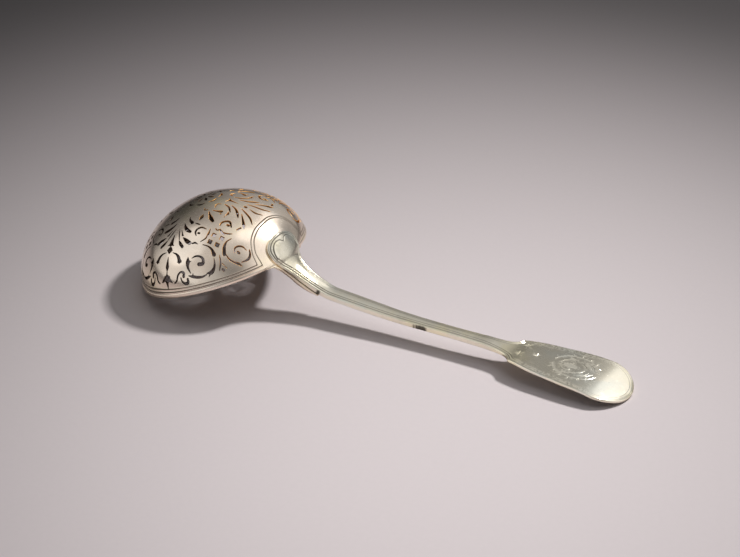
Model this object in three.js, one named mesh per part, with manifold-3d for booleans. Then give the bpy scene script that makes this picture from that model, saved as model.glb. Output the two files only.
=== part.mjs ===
// Sugar sifter spoon, lying face down on the front of its lip and the end of its handle.
// Millimetres, +Z up. X runs from the bowl to the end of the handle, Y is across.
import * as THREE from 'three';
import { mergeVertices } from 'three/addons/utils/BufferGeometryUtils.js';
import Module from 'manifold-3d';

const wasm = await Module();
wasm.setup();

// Bowl
const mouthRadius = 34.3;
const bowlHeight = 26.2;
const shellWall = 1.0;
const apexShift = 0.9;
const restTilt = THREE.MathUtils.degToRad(18.2);
const crownExponent = 1.86;
const patternTurn = THREE.MathUtils.degToRad(4.5);

// Lip wire round the mouth
const lipHeight = 2.0;
const lipWidth = 1.7;
const lipProud = 0.15;

// Clearance of soldered faces
const solderGap = 0.3;

// Tongue, the part of the bowl that runs under the stem
const tongueThickness = 1.9;
const tongueHalfWidth = 10.6;
const tongueLength = 18.5;
const tongueProud = 0.25;
const tongueRoot = 6.0;
const tongueInset = 0.1;

// How far the top of the handle and its end are set to the near side of the bowl's middle
const handleSet = 4.5;
const endSet = 0.6;

// Swan neck between the mouth and the stem
const neckReach = 17.7;
const neckDrop = 11.8;

// Drop, the heart-shaped end of the handle on the bowl
const dropHeight = 9.6;
const dropHalfWidth = 7.8;
const dropEdge = 0.8;
const dropCrown = 1.1;

// Stem
const stemStart = 83.0;
const stemEnd = 159.7;
const stemUnderside = 5.9;
const stemRootHalfWidth = 3.6;
const stemWaistHalfWidth = 2.8;
const stemEdge = 1.9;
const stemCrown = 0.5;

// Spatula end
const shoulderHalfWidth = 7.5;
const spatulaHalfWidth = 12.7;
const spatulaFlatStart = 163.0;
const spatulaFlatEnd = 185.0;
const spatulaFlatUnderside = 6.0;
const spatulaBendUnderside = 4.65;
const spatulaEdge = 1.1;
const spatulaCrown = 0.2;
const spatulaBendControl = 196.0;
const handleEnd = 204.6;

// Threads along the edges of the handle
const threadWidth = 0.9;
const threadDepth = 0.22;
const edgeRound = 0.3;

// Cutting tools of the piercings
const cutOver = 1.3;

// Mesh fineness
const domeRings = 7;
const domeSectors = 32;
const lipSegments = 78;
const stationStep = 3.4;
const meridianSamples = 400;
const halvings = 40;
const mergeTolerance = 1e-4;

const cosTilt = Math.cos(restTilt);
const sinTilt = Math.sin(restTilt);

// Meridian of the dome: radius and height at a parameter from 0 (apex) to 1 (mouth)
function meridian(parameter) {
  const angle = (1 - parameter) * Math.PI / 2;
  const radius = mouthRadius * Math.cos(angle) ** (2 / crownExponent);
  const height = bowlHeight * Math.sin(angle) ** (2 / crownExponent);
  return new THREE.Vector2(radius, height);
}

// Arc length along the meridian, so that shares of it are true distances on the metal
const meridianLengths = [0];
for (let i = 1; i <= meridianSamples; i++) {
  const step = meridian(i / meridianSamples).distanceTo(meridian((i - 1) / meridianSamples));
  meridianLengths.push(meridianLengths[i - 1] + step);
}
const meridianLength = meridianLengths[meridianSamples];

function parameterAtShare(share) {
  const wanted = Math.min(Math.max(share, 0), 1) * meridianLength;
  let low = 0;
  let high = meridianSamples;
  while (high - low > 1) {
    const middle = Math.floor((low + high) / 2);
    if (meridianLengths[middle] < wanted) low = middle;
    else high = middle;
  }
  const part = (wanted - meridianLengths[low]) / (meridianLengths[high] - meridianLengths[low]);
  return (low + part) / meridianSamples;
}

function shareAtHeight(height) {
  let low = 0;
  let high = 1;
  for (let i = 0; i < halvings; i++) {
    const middle = (low + high) / 2;
    if (meridian(parameterAtShare(middle)).y > height) low = middle;
    else high = middle;
  }
  return low;
}

// Point of the dome in the bowl's own frame, pushed outwards along the normal
function domePoint(share, azimuth, push) {
  const parameter = parameterAtShare(share);
  const here = meridian(parameter);
  const nudge = 1 / meridianSamples;
  const before = meridian(Math.max(parameter - nudge, 0));
  const after = meridian(Math.min(parameter + nudge, 1));
  const along = after.clone().sub(before).normalize();
  const outward = new THREE.Vector2(-along.y, along.x);
  if (parameter < nudge) outward.set(0, 1);
  const radius = here.x + outward.x * push;
  const height = here.y + outward.y * push;
  const shift = apexShift * here.y / bowlHeight;
  return new THREE.Vector3(radius * Math.cos(azimuth) + shift, radius * Math.sin(azimuth), height);
}

// From the bowl's frame (origin at the mouth's centre) to the resting frame
function toRest(point) {
  const x = point.x + mouthRadius;
  return new THREE.Vector3(x * cosTilt - point.z * sinTilt, point.y, x * sinTilt + point.z * cosTilt);
}

// A sleeve through rows of points that wrap round, open at its first and last row
function gridGeometry(rows) {
  const positions = [];
  const count = rows[0].length;
  for (const row of rows) {
    for (const point of row) positions.push(point.x, point.y, point.z);
  }
  const index = [];
  for (let i = 0; i < rows.length - 1; i++) {
    const here = i * count;
    const next = here + count;
    for (let j = 0; j < count; j++) {
      const k = (j + 1) % count;
      index.push(here + j, next + j, next + k);
      index.push(here + j, next + k, here + k);
    }
  }
  const geometry = new THREE.BufferGeometry();
  geometry.setAttribute('position', new THREE.Float32BufferAttribute(positions, 3));
  geometry.setIndex(index);
  return geometry;
}

function triangleGeometry(triangles) {
  const positions = [];
  for (const point of triangles) positions.push(point.x, point.y, point.z);
  const geometry = new THREE.BufferGeometry();
  geometry.setAttribute('position', new THREE.Float32BufferAttribute(positions, 3));
  return dropFlatTriangles(mergeVertices(geometry, mergeTolerance));
}

// Triangles that merging has folded to a line are left out
function dropFlatTriangles(geometry) {
  const source = geometry.index.array;
  const kept = [];
  for (let i = 0; i < source.length; i += 3) {
    const a = source[i];
    const b = source[i + 1];
    const c = source[i + 2];
    if (a !== b && b !== c && c !== a) kept.push(a, b, c);
  }
  geometry.setIndex(kept);
  return geometry;
}

function toManifold(geometry) {
  const merged = geometry.index ? geometry : mergeVertices(geometry, mergeTolerance);
  const vertProperties = new Float32Array(merged.getAttribute('position').array);
  const triVerts = new Uint32Array(merged.index.array);
  return new wasm.Manifold(new wasm.Mesh({ numProp: 3, vertProperties, triVerts }));
}

function fromManifold(solid) {
  const mesh = solid.getMesh();
  const geometry = new THREE.BufferGeometry();
  geometry.setAttribute('position', new THREE.Float32BufferAttribute(mesh.vertProperties, 3));
  geometry.setIndex(new THREE.Uint32BufferAttribute(mesh.triVerts, 1));
  return geometry;
}

// Two triangles across four corners
function quad(list, a, b, c, d) {
  list.push(a, b, c, a, c, d);
}

// Dome shell: outer and inner faces from the apex down to the top of the lip wire
function domeShell() {
  const edgeShare = shareAtHeight(lipHeight + solderGap);
  const triangles = [];
  const ring = (number, push) => {
    const share = edgeShare * number / domeRings;
    const points = [];
    for (let j = 0; j < domeSectors; j++) {
      points.push(domePoint(share, j * 2 * Math.PI / domeSectors, push));
    }
    return points;
  };
  const skins = [0, -shellWall].map((push) => {
    const rings = [];
    for (let i = 0; i <= domeRings; i++) rings.push(ring(i, push));
    return rings;
  });
  for (let j = 0; j < domeSectors; j++) {
    const k = (j + 1) % domeSectors;
    const [outer, inner] = skins;
    triangles.push(outer[0][0], outer[1][j], outer[1][k]);
    triangles.push(inner[0][0], inner[1][k], inner[1][j]);
    for (let i = 1; i < domeRings; i++) {
      quad(triangles, outer[i][j], outer[i + 1][j], outer[i + 1][k], outer[i][k]);
      quad(triangles, inner[i][k], inner[i + 1][k], inner[i + 1][j], inner[i][j]);
    }
    quad(triangles, outer[domeRings][j], inner[domeRings][j], inner[domeRings][k], outer[domeRings][k]);
  }
  return triangleGeometry(triangles);
}

const hundredths = 100;

// Piercings, in hundredths of the meridian: [toward the handle, toward the side, half width].
// A half width of zero is a sharp end.
const bellflowerShares = [
  [[-1.4, 48, 0], [-1.4, 55.6, 2.2], [-1.4, 57.8, 3.8]],
  [[-1.2, 58.6, 0], [-1.2, 61.8, 3.6], [-1.0, 65.2, 0]],
  [[-0.9, 67, 0], [-0.3, 75.6, 2.1], [-0.2, 78.3, 1.0]],
  [[-0.2, 79.4, 0.6], [-0.1, 83, 4.1], [0, 86.4, 4.6], [0.2, 92.2, 0]],
];
const scrollShares = [
  [[3, 63.6, 0], [10.2, 66.4, 1.3], [13.4, 71.8, 2.1]],
  [[9.4, 88.4, 0], [13.4, 83.6, 1.1], [16.3, 79, 1.0], [20.4, 79.8, 1.8]],
  [[17, 83.4, 0], [21.6, 87, 1.2], [25.6, 84.6, 1.6]],
  [[21.2, 65.6, 0], [22.4, 70.4, 2.1], [27.6, 78.2, 0]],
  [[25, 66.2, 0], [31.2, 62.8, 0.9], [36.9, 65, 1.4], [34.4, 69, 1.7]],
  [[25.4, 80.5, 0], [34.6, 79.5, 1.3], [43.9, 74.4, 0]],
  [[45.5, 59, 0], [48.7, 66.6, 1.4], [43.3, 73.8, 0]],
  [[31, 52.4, 0], [39.6, 53, 1.1], [45.2, 57.2, 2.0]],
];
const leafShares = [
  [[3.6, 36.2, 0], [8.4, 41.6, 1.6], [14, 44, 1.3]],
  [[9, 49.8, 0], [14, 52.5, 1.8], [18.2, 54, 1.7]],
  [[6.3, 53, 0], [8.9, 56, 1.5], [12.2, 58.2, 1.2]],
  [[5.3, 29.4, 0], [7.6, 33, 1.1], [11.2, 35.2, 1.5]],
  [[21.6, 46.8, 0], [19, 42.4, 1.0], [21.4, 38.4, 1.0], [27.8, 38.3, 0]],
];
const handleScrollShares = [
  [[60.6, 46.6, 0], [59, 41.4, 0.9], [63, 37.9, 0.9], [68.5, 37.9, 0]],
  [[70, 35.2, 0], [73.6, 41, 1.3], [69.6, 49.8, 0]],
  [[54.5, 51.6, 0], [64, 53.6, 1.2], [72, 51.6, 0]],
  [[52.2, 36.7, 0], [49.8, 44, 1.2], [52.9, 52.2, 1.8]],
  [[49.3, 54.6, 0], [52.9, 60.4, 1.0], [54.5, 66.8, 0]],
  [[42.8, 35.4, 0], [46.8, 35, 1.0], [50.5, 32.6, 0]],
  [[37.1, 31.4, 0], [37.2, 26.4, 1.1], [41.4, 23.4, 1.1], [46.5, 27.8, 0]],
  [[19.2, 20.2, 0], [24.4, 25.8, 1.7], [28.6, 29, 1.5]],
  [[41.2, 4.2, 0], [51, 7.9, 1.1], [59, 14, 0]],
  [[45.3, 9.8, 0], [52.6, 17.8, 1.4], [55.9, 22.5, 0]],
  [[32.3, 5.4, 0], [40.2, 9.6, 1.3], [45.6, 15.6, 0]],
  [[26.1, 6.9, 0], [31.8, 9, 1.1], [36.4, 13.8, 0]],
];
const diagonalShares = [
  [[35, 41.1, 1.8], [38.6, 41.1, 1.8]],
  [[42.8, 40.9, 1.9], [46.6, 40.9, 1.9]],
  [[34.4, 47.9, 1.9], [38.2, 47.9, 1.9]],
  [[41.5, 47.9, 1.9], [45.5, 47.9, 1.9]],
  [[30.9, 36.8, 0], [31.8, 43.4, 1.1], [27.8, 50.8, 0]],
  [[38.6, 33.5, 0], [41.2, 35.6, 1.4], [44.6, 37.1, 0]],
];
const handleAxisShares = [
  [[23.2, 0, 3.2], [27, 0, 1.3], [36.6, 0, 0]],
  [[40.6, 0, 0], [42.4, 0, 1.6], [44.2, 0, 0]],
  [[46.6, 0, 0], [53, 0.2, 1.1], [58.2, -3, 0]],
];
const petalShares = [[3.4, 0, 0], [7.2, 0, 1.4], [10, 0, 0]];
const crescentShares = [[13.2, -3.8, 0], [15, 0, 1.0], [13.2, 3.8, 0]];
const petalCount = 8;
const bellflowerAxisShare = -0.7;

// Ways of laying one quarter of the pattern over the others
const nearHandle = ([u, v, w]) => [u, v, w];
const farHandle = ([u, v, w]) => [u, -v, w];
const nearFront = ([u, v, w]) => [2 * bellflowerAxisShare - u, v, w];
const farFront = ([u, v, w]) => [2 * bellflowerAxisShare - u, -v, w];
const nearFrontTurned = ([u, v, w]) => [-v, u, w];
const farFrontTurned = ([u, v, w]) => [-v, -u, w];

function piercingStrokes() {
  const strokes = [];
  const lay = (table, ...ways) => {
    for (const way of ways) {
      for (const stroke of table) strokes.push(stroke.map(way));
    }
  };
  lay(bellflowerShares, nearHandle, farHandle, nearFrontTurned);
  lay(scrollShares, nearHandle, farHandle, nearFront, farFront, nearFrontTurned, farFrontTurned);
  lay(leafShares, nearHandle, farHandle, nearFront, farFront, nearFrontTurned, farFrontTurned);
  lay(diagonalShares, nearHandle, farHandle, nearFront, farFront);
  lay(handleScrollShares, nearHandle, farHandle);
  lay(handleAxisShares, nearHandle);
  for (let i = 0; i < petalCount; i++) {
    const turn = (i * 2 * Math.PI) / petalCount;
    const spin = (angle) => ([u, v, w]) => [
      u * Math.cos(angle) - v * Math.sin(angle),
      u * Math.sin(angle) + v * Math.cos(angle),
      w,
    ];
    lay([petalShares], spin(turn));
    lay([crescentShares], spin(turn + Math.PI / petalCount));
  }
  return strokes;
}

// Outline of a tapered stroke: down one side and back up the other
function strokeOutline(stroke) {
  const left = [];
  const right = [];
  stroke.forEach(([u, v, w], i) => {
    const before = stroke[Math.max(i - 1, 0)];
    const after = stroke[Math.min(i + 1, stroke.length - 1)];
    const along = new THREE.Vector2(after[0] - before[0], after[1] - before[1]).normalize();
    left.push(new THREE.Vector2(u - along.y * w, v + along.x * w));
    if (w > 0) right.push(new THREE.Vector2(u + along.y * w, v - along.x * w));
  });
  return left.concat(right.reverse());
}

function patternPoint(flat, push) {
  const share = flat.length() / hundredths;
  const azimuth = Math.atan2(-flat.y, flat.x) - patternTurn;
  return domePoint(share, azimuth, push);
}

// A straight saw cut through the wall, square to the dome at the middle of the stroke
function piercingCutter(stroke) {
  const outline = strokeOutline(stroke);
  if (THREE.ShapeUtils.isClockWise(outline)) outline.reverse();
  const faces = THREE.ShapeUtils.triangulateShape(outline, []);
  const [u, v] = stroke[Math.floor(stroke.length / 2)];
  const middle = new THREE.Vector2(u, v);
  const square = patternPoint(middle, cutOver).sub(patternPoint(middle, 0)).divideScalar(cutOver);
  const skin = outline.map((point) => patternPoint(point, 0));
  const top = skin.map((point) => point.clone().addScaledVector(square, cutOver));
  const bottom = skin.map((point) => point.clone().addScaledVector(square, -shellWall - cutOver));
  const triangles = [];
  for (const [a, b, c] of faces) {
    triangles.push(top[a], top[c], top[b]);
    triangles.push(bottom[a], bottom[b], bottom[c]);
  }
  outline.forEach((_, i) => {
    const k = (i + 1) % outline.length;
    quad(triangles, top[i], top[k], bottom[k], bottom[i]);
  });
  return toManifold(triangleGeometry(triangles));
}

// Path of the handle's underside in the resting frame, from the top of the drop to the end
const neckShares = [
  [0.02, 0.06], [0.057, 0.15], [0.113, 0.245], [0.175, 0.33], [0.27, 0.44], [0.38, 0.56], [0.49, 0.66],
  [0.6, 0.755], [0.72, 0.845], [0.85, 0.93], [1, 1],
];
const stemShares = [
  [0.053, 0.14], [0.105, 0.24], [0.156, 0.34], [0.22, 0.46], [0.3, 0.61], [0.39, 0.74], [0.48, 0.82],
  [0.6, 0.88], [0.77, 0.95], [0.9, 1],
];
const dropSteps = 5;

function handlePath() {
  const knots = [];
  for (let i = 0; i <= dropSteps; i++) {
    const height = dropHeight * (1 - i / dropSteps);
    const share = i === dropSteps ? 1 : shareAtHeight(height);
    knots.push(toRest(domePoint(share, 0, solderGap)));
  }
  const back = knots[dropSteps];
  for (const [forward, down] of neckShares) {
    knots.push(new THREE.Vector3(back.x + forward * neckReach, 0, back.z - down * neckDrop));
  }
  const root = knots[knots.length - 1];
  for (const [forward, down] of stemShares) {
    const x = root.x + forward * (stemEnd - root.x);
    knots.push(new THREE.Vector3(x, 0, root.z + down * (stemUnderside - root.z)));
  }
  const flatStart = new THREE.Vector3(spatulaFlatStart, 0, spatulaFlatUnderside);
  const flatEnd = new THREE.Vector3(spatulaFlatEnd, 0, spatulaBendUnderside);
  const slope = (spatulaBendUnderside - spatulaFlatUnderside) / (spatulaFlatEnd - spatulaFlatStart);
  const control = new THREE.Vector3(
    spatulaBendControl, 0, spatulaBendUnderside + slope * (spatulaBendControl - spatulaFlatEnd));
  knots.push(flatStart);
  const path = new THREE.CurvePath();
  path.add(new THREE.CatmullRomCurve3(knots, false, 'centripetal'));
  path.add(new THREE.LineCurve3(flatStart, flatEnd));
  path.add(new THREE.QuadraticBezierCurve3(flatEnd, control, new THREE.Vector3(handleEnd, 0, 0)));
  return path;
}

const path = handlePath();
const pathLength = path.getLength();

function lengthAtX(x) {
  let low = 0;
  let high = 1;
  for (let i = 0; i < halvings; i++) {
    const middle = (low + high) / 2;
    if (path.getPointAt(middle).x < x) low = middle;
    else high = middle;
  }
  return low * pathLength;
}

// The path bends with the bowl at the drop and flattens along the neck
const rimLength = lengthAtX(toRest(domePoint(1, 0, solderGap)).x);
const neckLength = lengthAtX(stemStart) - rimLength;

function roundedShare(length) {
  return 1 - THREE.MathUtils.smoothstep(length, rimLength, rimLength + neckLength);
}

// Middle of the handle, which runs straight from beside the bowl's middle to the end
function centreLine(length) {
  return -THREE.MathUtils.lerp(handleSet, endSet, length / pathLength);
}

// Distance of the path from the bowl's axis, which the drop is bent round
function bendRadius(length) {
  const here = path.getPointAt(THREE.MathUtils.clamp(Math.min(length, rimLength) / pathLength, 0, 1));
  const fromMouth = here.x * cosTilt + here.z * sinTilt - mouthRadius;
  const height = here.z * cosTilt - here.x * sinTilt;
  return fromMouth - apexShift * height / bowlHeight;
}

// Point over the path: a length along it, a distance across and a height off the underside
function pathPoint(length, offset, height) {
  const share = THREE.MathUtils.clamp(length / pathLength, 0, 1);
  const across = centreLine(length) + offset;
  const here = path.getPointAt(share);
  const along = path.getTangentAt(share);
  const radius = bendRadius(length);
  const bend = roundedShare(length) * Math.asin(across / radius);
  const sag = roundedShare(length) * (radius - Math.sqrt(radius ** 2 - across ** 2));
  const outward = new THREE.Vector3(-along.z, 0, along.x);
  const level = outward.x * cosTilt + outward.z * sinTilt;
  const upright = outward.z * cosTilt - outward.x * sinTilt;
  const x = level * Math.cos(bend) * height - sag;
  const y = across + level * Math.sin(bend) * height;
  const z = upright * height;
  return new THREE.Vector3(here.x + x * cosTilt - z * sinTilt, y, here.z + x * sinTilt + z * cosTilt);
}

// Half outline of the handle in plan, from the top of the drop round to the end
const dropOutlineShares = [
  [0, 0], [0.01, 0.2], [0.04, 0.42], [0.12, 0.66], [0.26, 0.87], [0.42, 0.98], [0.56, 1], [0.75, 0.97],
  [0.9, 0.9], [1, 0.82],
];
const neckOutlineShares = [
  [0.08, 0.48], [0.16, 0.32], [0.26, 0.2], [0.38, 0.1], [0.53, 0.05], [0.73, 0.02], [1, 0],
];
const stemWidthShares = [
  [0.2, 0.85], [0.43, 0.3], [0.65, 0], [0.8, 0.3], [0.88, 0.75], [0.94, 1.6], [0.97, 2.6], [0.99, 4],
];
const shoulderShares = [
  [0.16, 0.28], [0.28, 0.46], [0.41, 0.58], [0.53, 0.68], [0.65, 0.78], [0.8, 0.87], [1, 0.96],
];
const endSteps = 9;

function handleOutline() {
  const knots = [];
  const add = (length, across) => knots.push(new THREE.Vector2(length, across));
  for (const [down, wide] of dropOutlineShares) add(down * rimLength, wide * dropHalfWidth);
  for (const [down, extra] of neckOutlineShares) {
    const widening = extra * (dropHalfWidth - stemRootHalfWidth);
    add(rimLength + down * neckLength, stemRootHalfWidth + widening);
  }
  const rootLength = lengthAtX(stemStart);
  const shoulderLength = lengthAtX(stemEnd);
  const stemLength = shoulderLength - rootLength;
  for (const [along, extra] of stemWidthShares) {
    const widening = extra * (stemRootHalfWidth - stemWaistHalfWidth);
    add(rootLength + along * stemLength, stemWaistHalfWidth + widening);
  }
  add(shoulderLength, shoulderHalfWidth);
  const roundStart = pathLength - spatulaHalfWidth;
  for (const [along, extra] of shoulderShares) {
    const widening = extra * (spatulaHalfWidth - shoulderHalfWidth);
    add(shoulderLength + along * (roundStart - shoulderLength), shoulderHalfWidth + widening);
  }
  for (let i = 1; i <= endSteps; i++) {
    const angle = i * Math.PI / 2 / endSteps;
    add(roundStart + spatulaHalfWidth * Math.sin(angle), spatulaHalfWidth * Math.cos(angle));
  }
  return knots;
}

// Stations along the outline, no further apart than the station step
function stations(outline) {
  const points = [];
  for (let i = 0; i < outline.length - 1; i++) {
    const count = Math.max(1, Math.round(outline[i].distanceTo(outline[i + 1]) / stationStep));
    for (let j = 0; j < count; j++) points.push(outline[i].clone().lerp(outline[i + 1], j / count));
  }
  points.push(outline[outline.length - 1].clone());
  return points;
}

function blend(from, to, share) {
  return from + (to - from) * THREE.MathUtils.smoothstep(share, 0, 1);
}

// Thickness of the handle's edge and rise of its middle along the path
function edgeThickness(length) {
  const stemLength = lengthAtX(stemEnd);
  if (length < rimLength + neckLength) return blend(dropEdge, stemEdge, length / (rimLength + neckLength));
  const fade = (length - stemLength + spatulaHalfWidth) / spatulaHalfWidth;
  return blend(stemEdge, spatulaEdge, THREE.MathUtils.clamp(fade, 0, 1));
}

function crownRise(length) {
  const stemLength = lengthAtX(stemEnd);
  if (length < rimLength + neckLength) return blend(dropCrown, stemCrown, length / (rimLength + neckLength));
  const fade = (length - stemLength + spatulaHalfWidth) / spatulaHalfWidth;
  return blend(stemCrown, spatulaCrown, THREE.MathUtils.clamp(fade, 0, 1));
}

// Rows inwards from the outline: [inset in thread widths, drop in thread depths]
const acrossShares = [0, 0.35, 0.7, 1];
const threadRowShares = [[0.3, 0], [0.8, 0], [1, 1], [1.2, 0], [1.8, 0], [2, 1], [2.2, 0]];

function handleGeometry() {
  const outline = stations(handleOutline());
  return closedShell(handleSections(outline, 1), handleSections(outline, -1));
}

// Half sections of one side: from the middle of the underside round the edge to the middle of the top
function handleSections(outline, side) {
  const last = outline.length - 1;
  return outline.map((point, i) => {
    const before = outline[Math.max(i - 1, 0)];
    const after = outline[Math.min(i + 1, last)];
    const inward = new THREE.Vector2(after.y - before.y, before.x - after.x).normalize();
    if (i === 0) inward.set(1, 0);
    if (i === last) inward.set(-1, 0);
    const half = acrossShares.map((share) => pathPoint(point.x, side * share * point.y, 0));
    half.push(pathPoint(point.x, side * point.y, edgeThickness(point.x) - edgeRound));
    let inner = point;
    for (const [inset, sunk] of threadRowShares) {
      inner = point.clone().addScaledVector(inward, inset * threadWidth);
      inner.y = Math.max(inner.y, 0);
      half.push(topPoint(outline, inner.x, side * inner.y, sunk));
    }
    for (const share of acrossShares.slice(0, -1).reverse()) {
      half.push(topPoint(outline, inner.x, side * share * inner.y, 0));
    }
    return half;
  });
}

// Point of the handle's top, which is crowned between its edges
function topPoint(outline, length, across, sunk) {
  const wide = Math.max(halfWidthAt(outline, length), threadWidth);
  const rise = crownRise(length) * (1 - Math.min(Math.abs(across) / wide, 1) ** 2);
  return pathPoint(length, across, edgeThickness(length) + rise - sunk * threadDepth);
}

function halfWidthAt(outline, length) {
  for (let i = 1; i < outline.length; i++) {
    if (outline[i].x >= length) {
      const span = outline[i].x - outline[i - 1].x;
      const part = span > 0 ? (length - outline[i - 1].x) / span : 0;
      return outline[i - 1].y + part * (outline[i].y - outline[i - 1].y);
    }
  }
  return 0;
}

// A closed body from the half sections of its two sides, which share their first and last points
function closedShell(farSections, nearSections) {
  const triangles = [];
  for (let i = 0; i < farSections.length - 1; i++) {
    const [farHere, farNext] = [farSections[i], farSections[i + 1]];
    const [nearHere, nearNext] = [nearSections[i], nearSections[i + 1]];
    for (let j = 0; j < farHere.length - 1; j++) {
      quad(triangles, farHere[j], farNext[j], farNext[j + 1], farHere[j + 1]);
      quad(triangles, nearHere[j + 1], nearNext[j + 1], nearNext[j], nearHere[j]);
    }
  }
  return triangleGeometry(triangles);
}

// Rows of the tongue: [share of the root or of the length, share of the flare, share of the thickness]
const tongueRootShares = [[-1, 0.8, 0], [-0.45, 0.95, 0], [-0.2, 1, 0.5]];
const tongueShares = [
  [0, 1, 0.95], [0.016, 0.55, 1], [0.043, 0.32, 1], [0.07, 0.17, 0.95], [0.11, 0.07, 0.9], [0.16, 0.02, 0.84],
  [0.26, 0, 0.76], [0.38, 0, 0.8], [0.5, 0, 0.95], [0.62, 0, 0.93], [0.74, 0, 0.78], [0.85, 0, 0.58],
  [0.93, 0, 0.38], [1, 0, 0.16],
];
const tongueAcrossShares = [-1, -0.6, -0.2, 0.2, 0.6, 1];

// Tongue of the bowl: from inside the bowl's wall, under the neck, to its point
function tongueGeometry() {
  const outline = stations(handleOutline());
  const mouthWidth = halfWidthAt(outline, rimLength);
  const rootThickness = shellWall - tongueInset;
  const row = (reach, half, top, thickness) => {
    const upper = tongueAcrossShares.map((share) => pathPoint(reach, share * half, top - solderGap));
    const lower = tongueAcrossShares.map((share) => pathPoint(reach, -share * half, -solderGap - thickness));
    return upper.concat(lower);
  };
  const rows = tongueRootShares.map(([along, wide, thick]) => {
    const thickness = THREE.MathUtils.lerp(rootThickness, tongueThickness, thick);
    return row(rimLength + along * tongueRoot, wide * tongueHalfWidth, -tongueInset, thickness);
  });
  for (const [along, flare, thick] of tongueShares) {
    const reach = rimLength + along * tongueLength;
    const slim = halfWidthAt(outline, reach) + tongueProud;
    const half = slim + flare * (tongueHalfWidth - mouthWidth - tongueProud);
    rows.push(row(reach, half, 0, thick * tongueThickness));
  }
  const body = gridGeometry(rows);
  const count = rows[0].length;
  const index = Array.from(body.index.array);
  const half = count / 2;
  for (const [row, flip] of [[0, false], [rows.length - 1, true]]) {
    for (let j = 0; j < half - 1; j++) {
      const a = row * count + j;
      const b = row * count + j + 1;
      const c = row * count + count - 2 - j;
      const d = row * count + count - 1 - j;
      if (flip) index.push(a, c, b, a, d, c);
      else index.push(a, b, c, a, c, d);
    }
  }
  body.setIndex(index);
  return body;
}

// Lip wire: a D section bent round the mouth, open where the tongue leaves the bowl
function lipGeometry() {
  const gapMiddle = -Math.asin(handleSet / mouthRadius);
  const halfGap = Math.asin((tongueHalfWidth + 2 * solderGap) / mouthRadius);
  const inner = mouthRadius - lipWidth;
  const outer = mouthRadius;
  const bulge = outer + lipProud;
  const section = [
    [inner, 0], [outer - edgeRound, 0], [bulge, lipHeight / 4], [bulge, 3 * lipHeight / 4],
    [outer - edgeRound, lipHeight], [inner, lipHeight],
  ];
  const rows = [];
  for (let i = 0; i <= lipSegments; i++) {
    const azimuth = gapMiddle + halfGap + 2 * (Math.PI - halfGap) * i / lipSegments;
    rows.push(section.map(([r, z]) => new THREE.Vector3(r * Math.cos(azimuth), r * Math.sin(azimuth), z)));
  }
  const ring = gridGeometry(rows);
  const index = Array.from(ring.index.array);
  const count = section.length;
  const lastRow = lipSegments * count;
  for (let j = 1; j < count - 1; j++) {
    index.push(0, j, j + 1);
    index.push(lastRow, lastRow + j + 1, lastRow + j);
  }
  ring.setIndex(index);
  return ring;
}

function flipIfInsideOut(geometry) {
  const position = geometry.getAttribute('position');
  const index = geometry.index.array;
  let volume = 0;
  const a = new THREE.Vector3();
  const b = new THREE.Vector3();
  const c = new THREE.Vector3();
  for (let i = 0; i < index.length; i += 3) {
    a.fromBufferAttribute(position, index[i]);
    b.fromBufferAttribute(position, index[i + 1]);
    c.fromBufferAttribute(position, index[i + 2]);
    volume += a.dot(b.cross(c)) / 6;
  }
  if (volume < 0) {
    const flipped = Array.from(index);
    for (let i = 0; i < flipped.length; i += 3) {
      [flipped[i], flipped[i + 1]] = [flipped[i + 1], flipped[i]];
    }
    geometry.setIndex(flipped);
  }
  return geometry;
}

// The bowl's frame laid into the resting frame
const bowlPlacement = new THREE.Matrix4().makeRotationY(-restTilt);
bowlPlacement.setPosition(mouthRadius * cosTilt, 0, mouthRadius * sinTilt);

function bowlShell() {
  const tongue = flipIfInsideOut(tongueGeometry());
  tongue.applyMatrix4(bowlPlacement.clone().invert());
  let shell = toManifold(domeShell());
  const cutters = piercingStrokes().map(piercingCutter);
  shell = shell.subtract(wasm.Manifold.union(cutters));
  shell = shell.add(toManifold(tongue));
  return fromManifold(shell);
}

function metal(color, roughness) {
  return new THREE.MeshStandardMaterial({ color, roughness, metalness: 1 });
}

function named(name, geometry, material) {
  const mesh = new THREE.Mesh(geometry, material);
  mesh.name = name;
  return mesh;
}

const bowl = new THREE.Group();
bowl.add(named('bowl_shell', bowlShell(), metal(0xcfc8ba, 0.3)));
bowl.add(named('lip_wire', flipIfInsideOut(lipGeometry()), metal(0xd8d2c6, 0.26)));
bowl.applyMatrix4(bowlPlacement);

const spoon = new THREE.Group();
spoon.add(bowl);
spoon.add(named('handle', flipIfInsideOut(handleGeometry()), metal(0xc9c6bd, 0.3)));
spoon.updateMatrixWorld(true);

// The origin lies under the middle of the whole spoon, on the surface that it rests on
const bounds = new THREE.Box3().setFromObject(spoon, true);
spoon.position.set(-(bounds.min.x + bounds.max.x) / 2, 0, -bounds.min.z);

export default spoon;
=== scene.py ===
"""A sugar sifter spoon in silver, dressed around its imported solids.

The spoon lies face down on the front of its lip and the end of its handle. Sizes are millimetres
and turn into metres as a mesh is made. A sheet of metal is drawn flat first, with its sawn holes
and engraved cuts, and is then laid over the form that it was raised to.
"""

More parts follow.
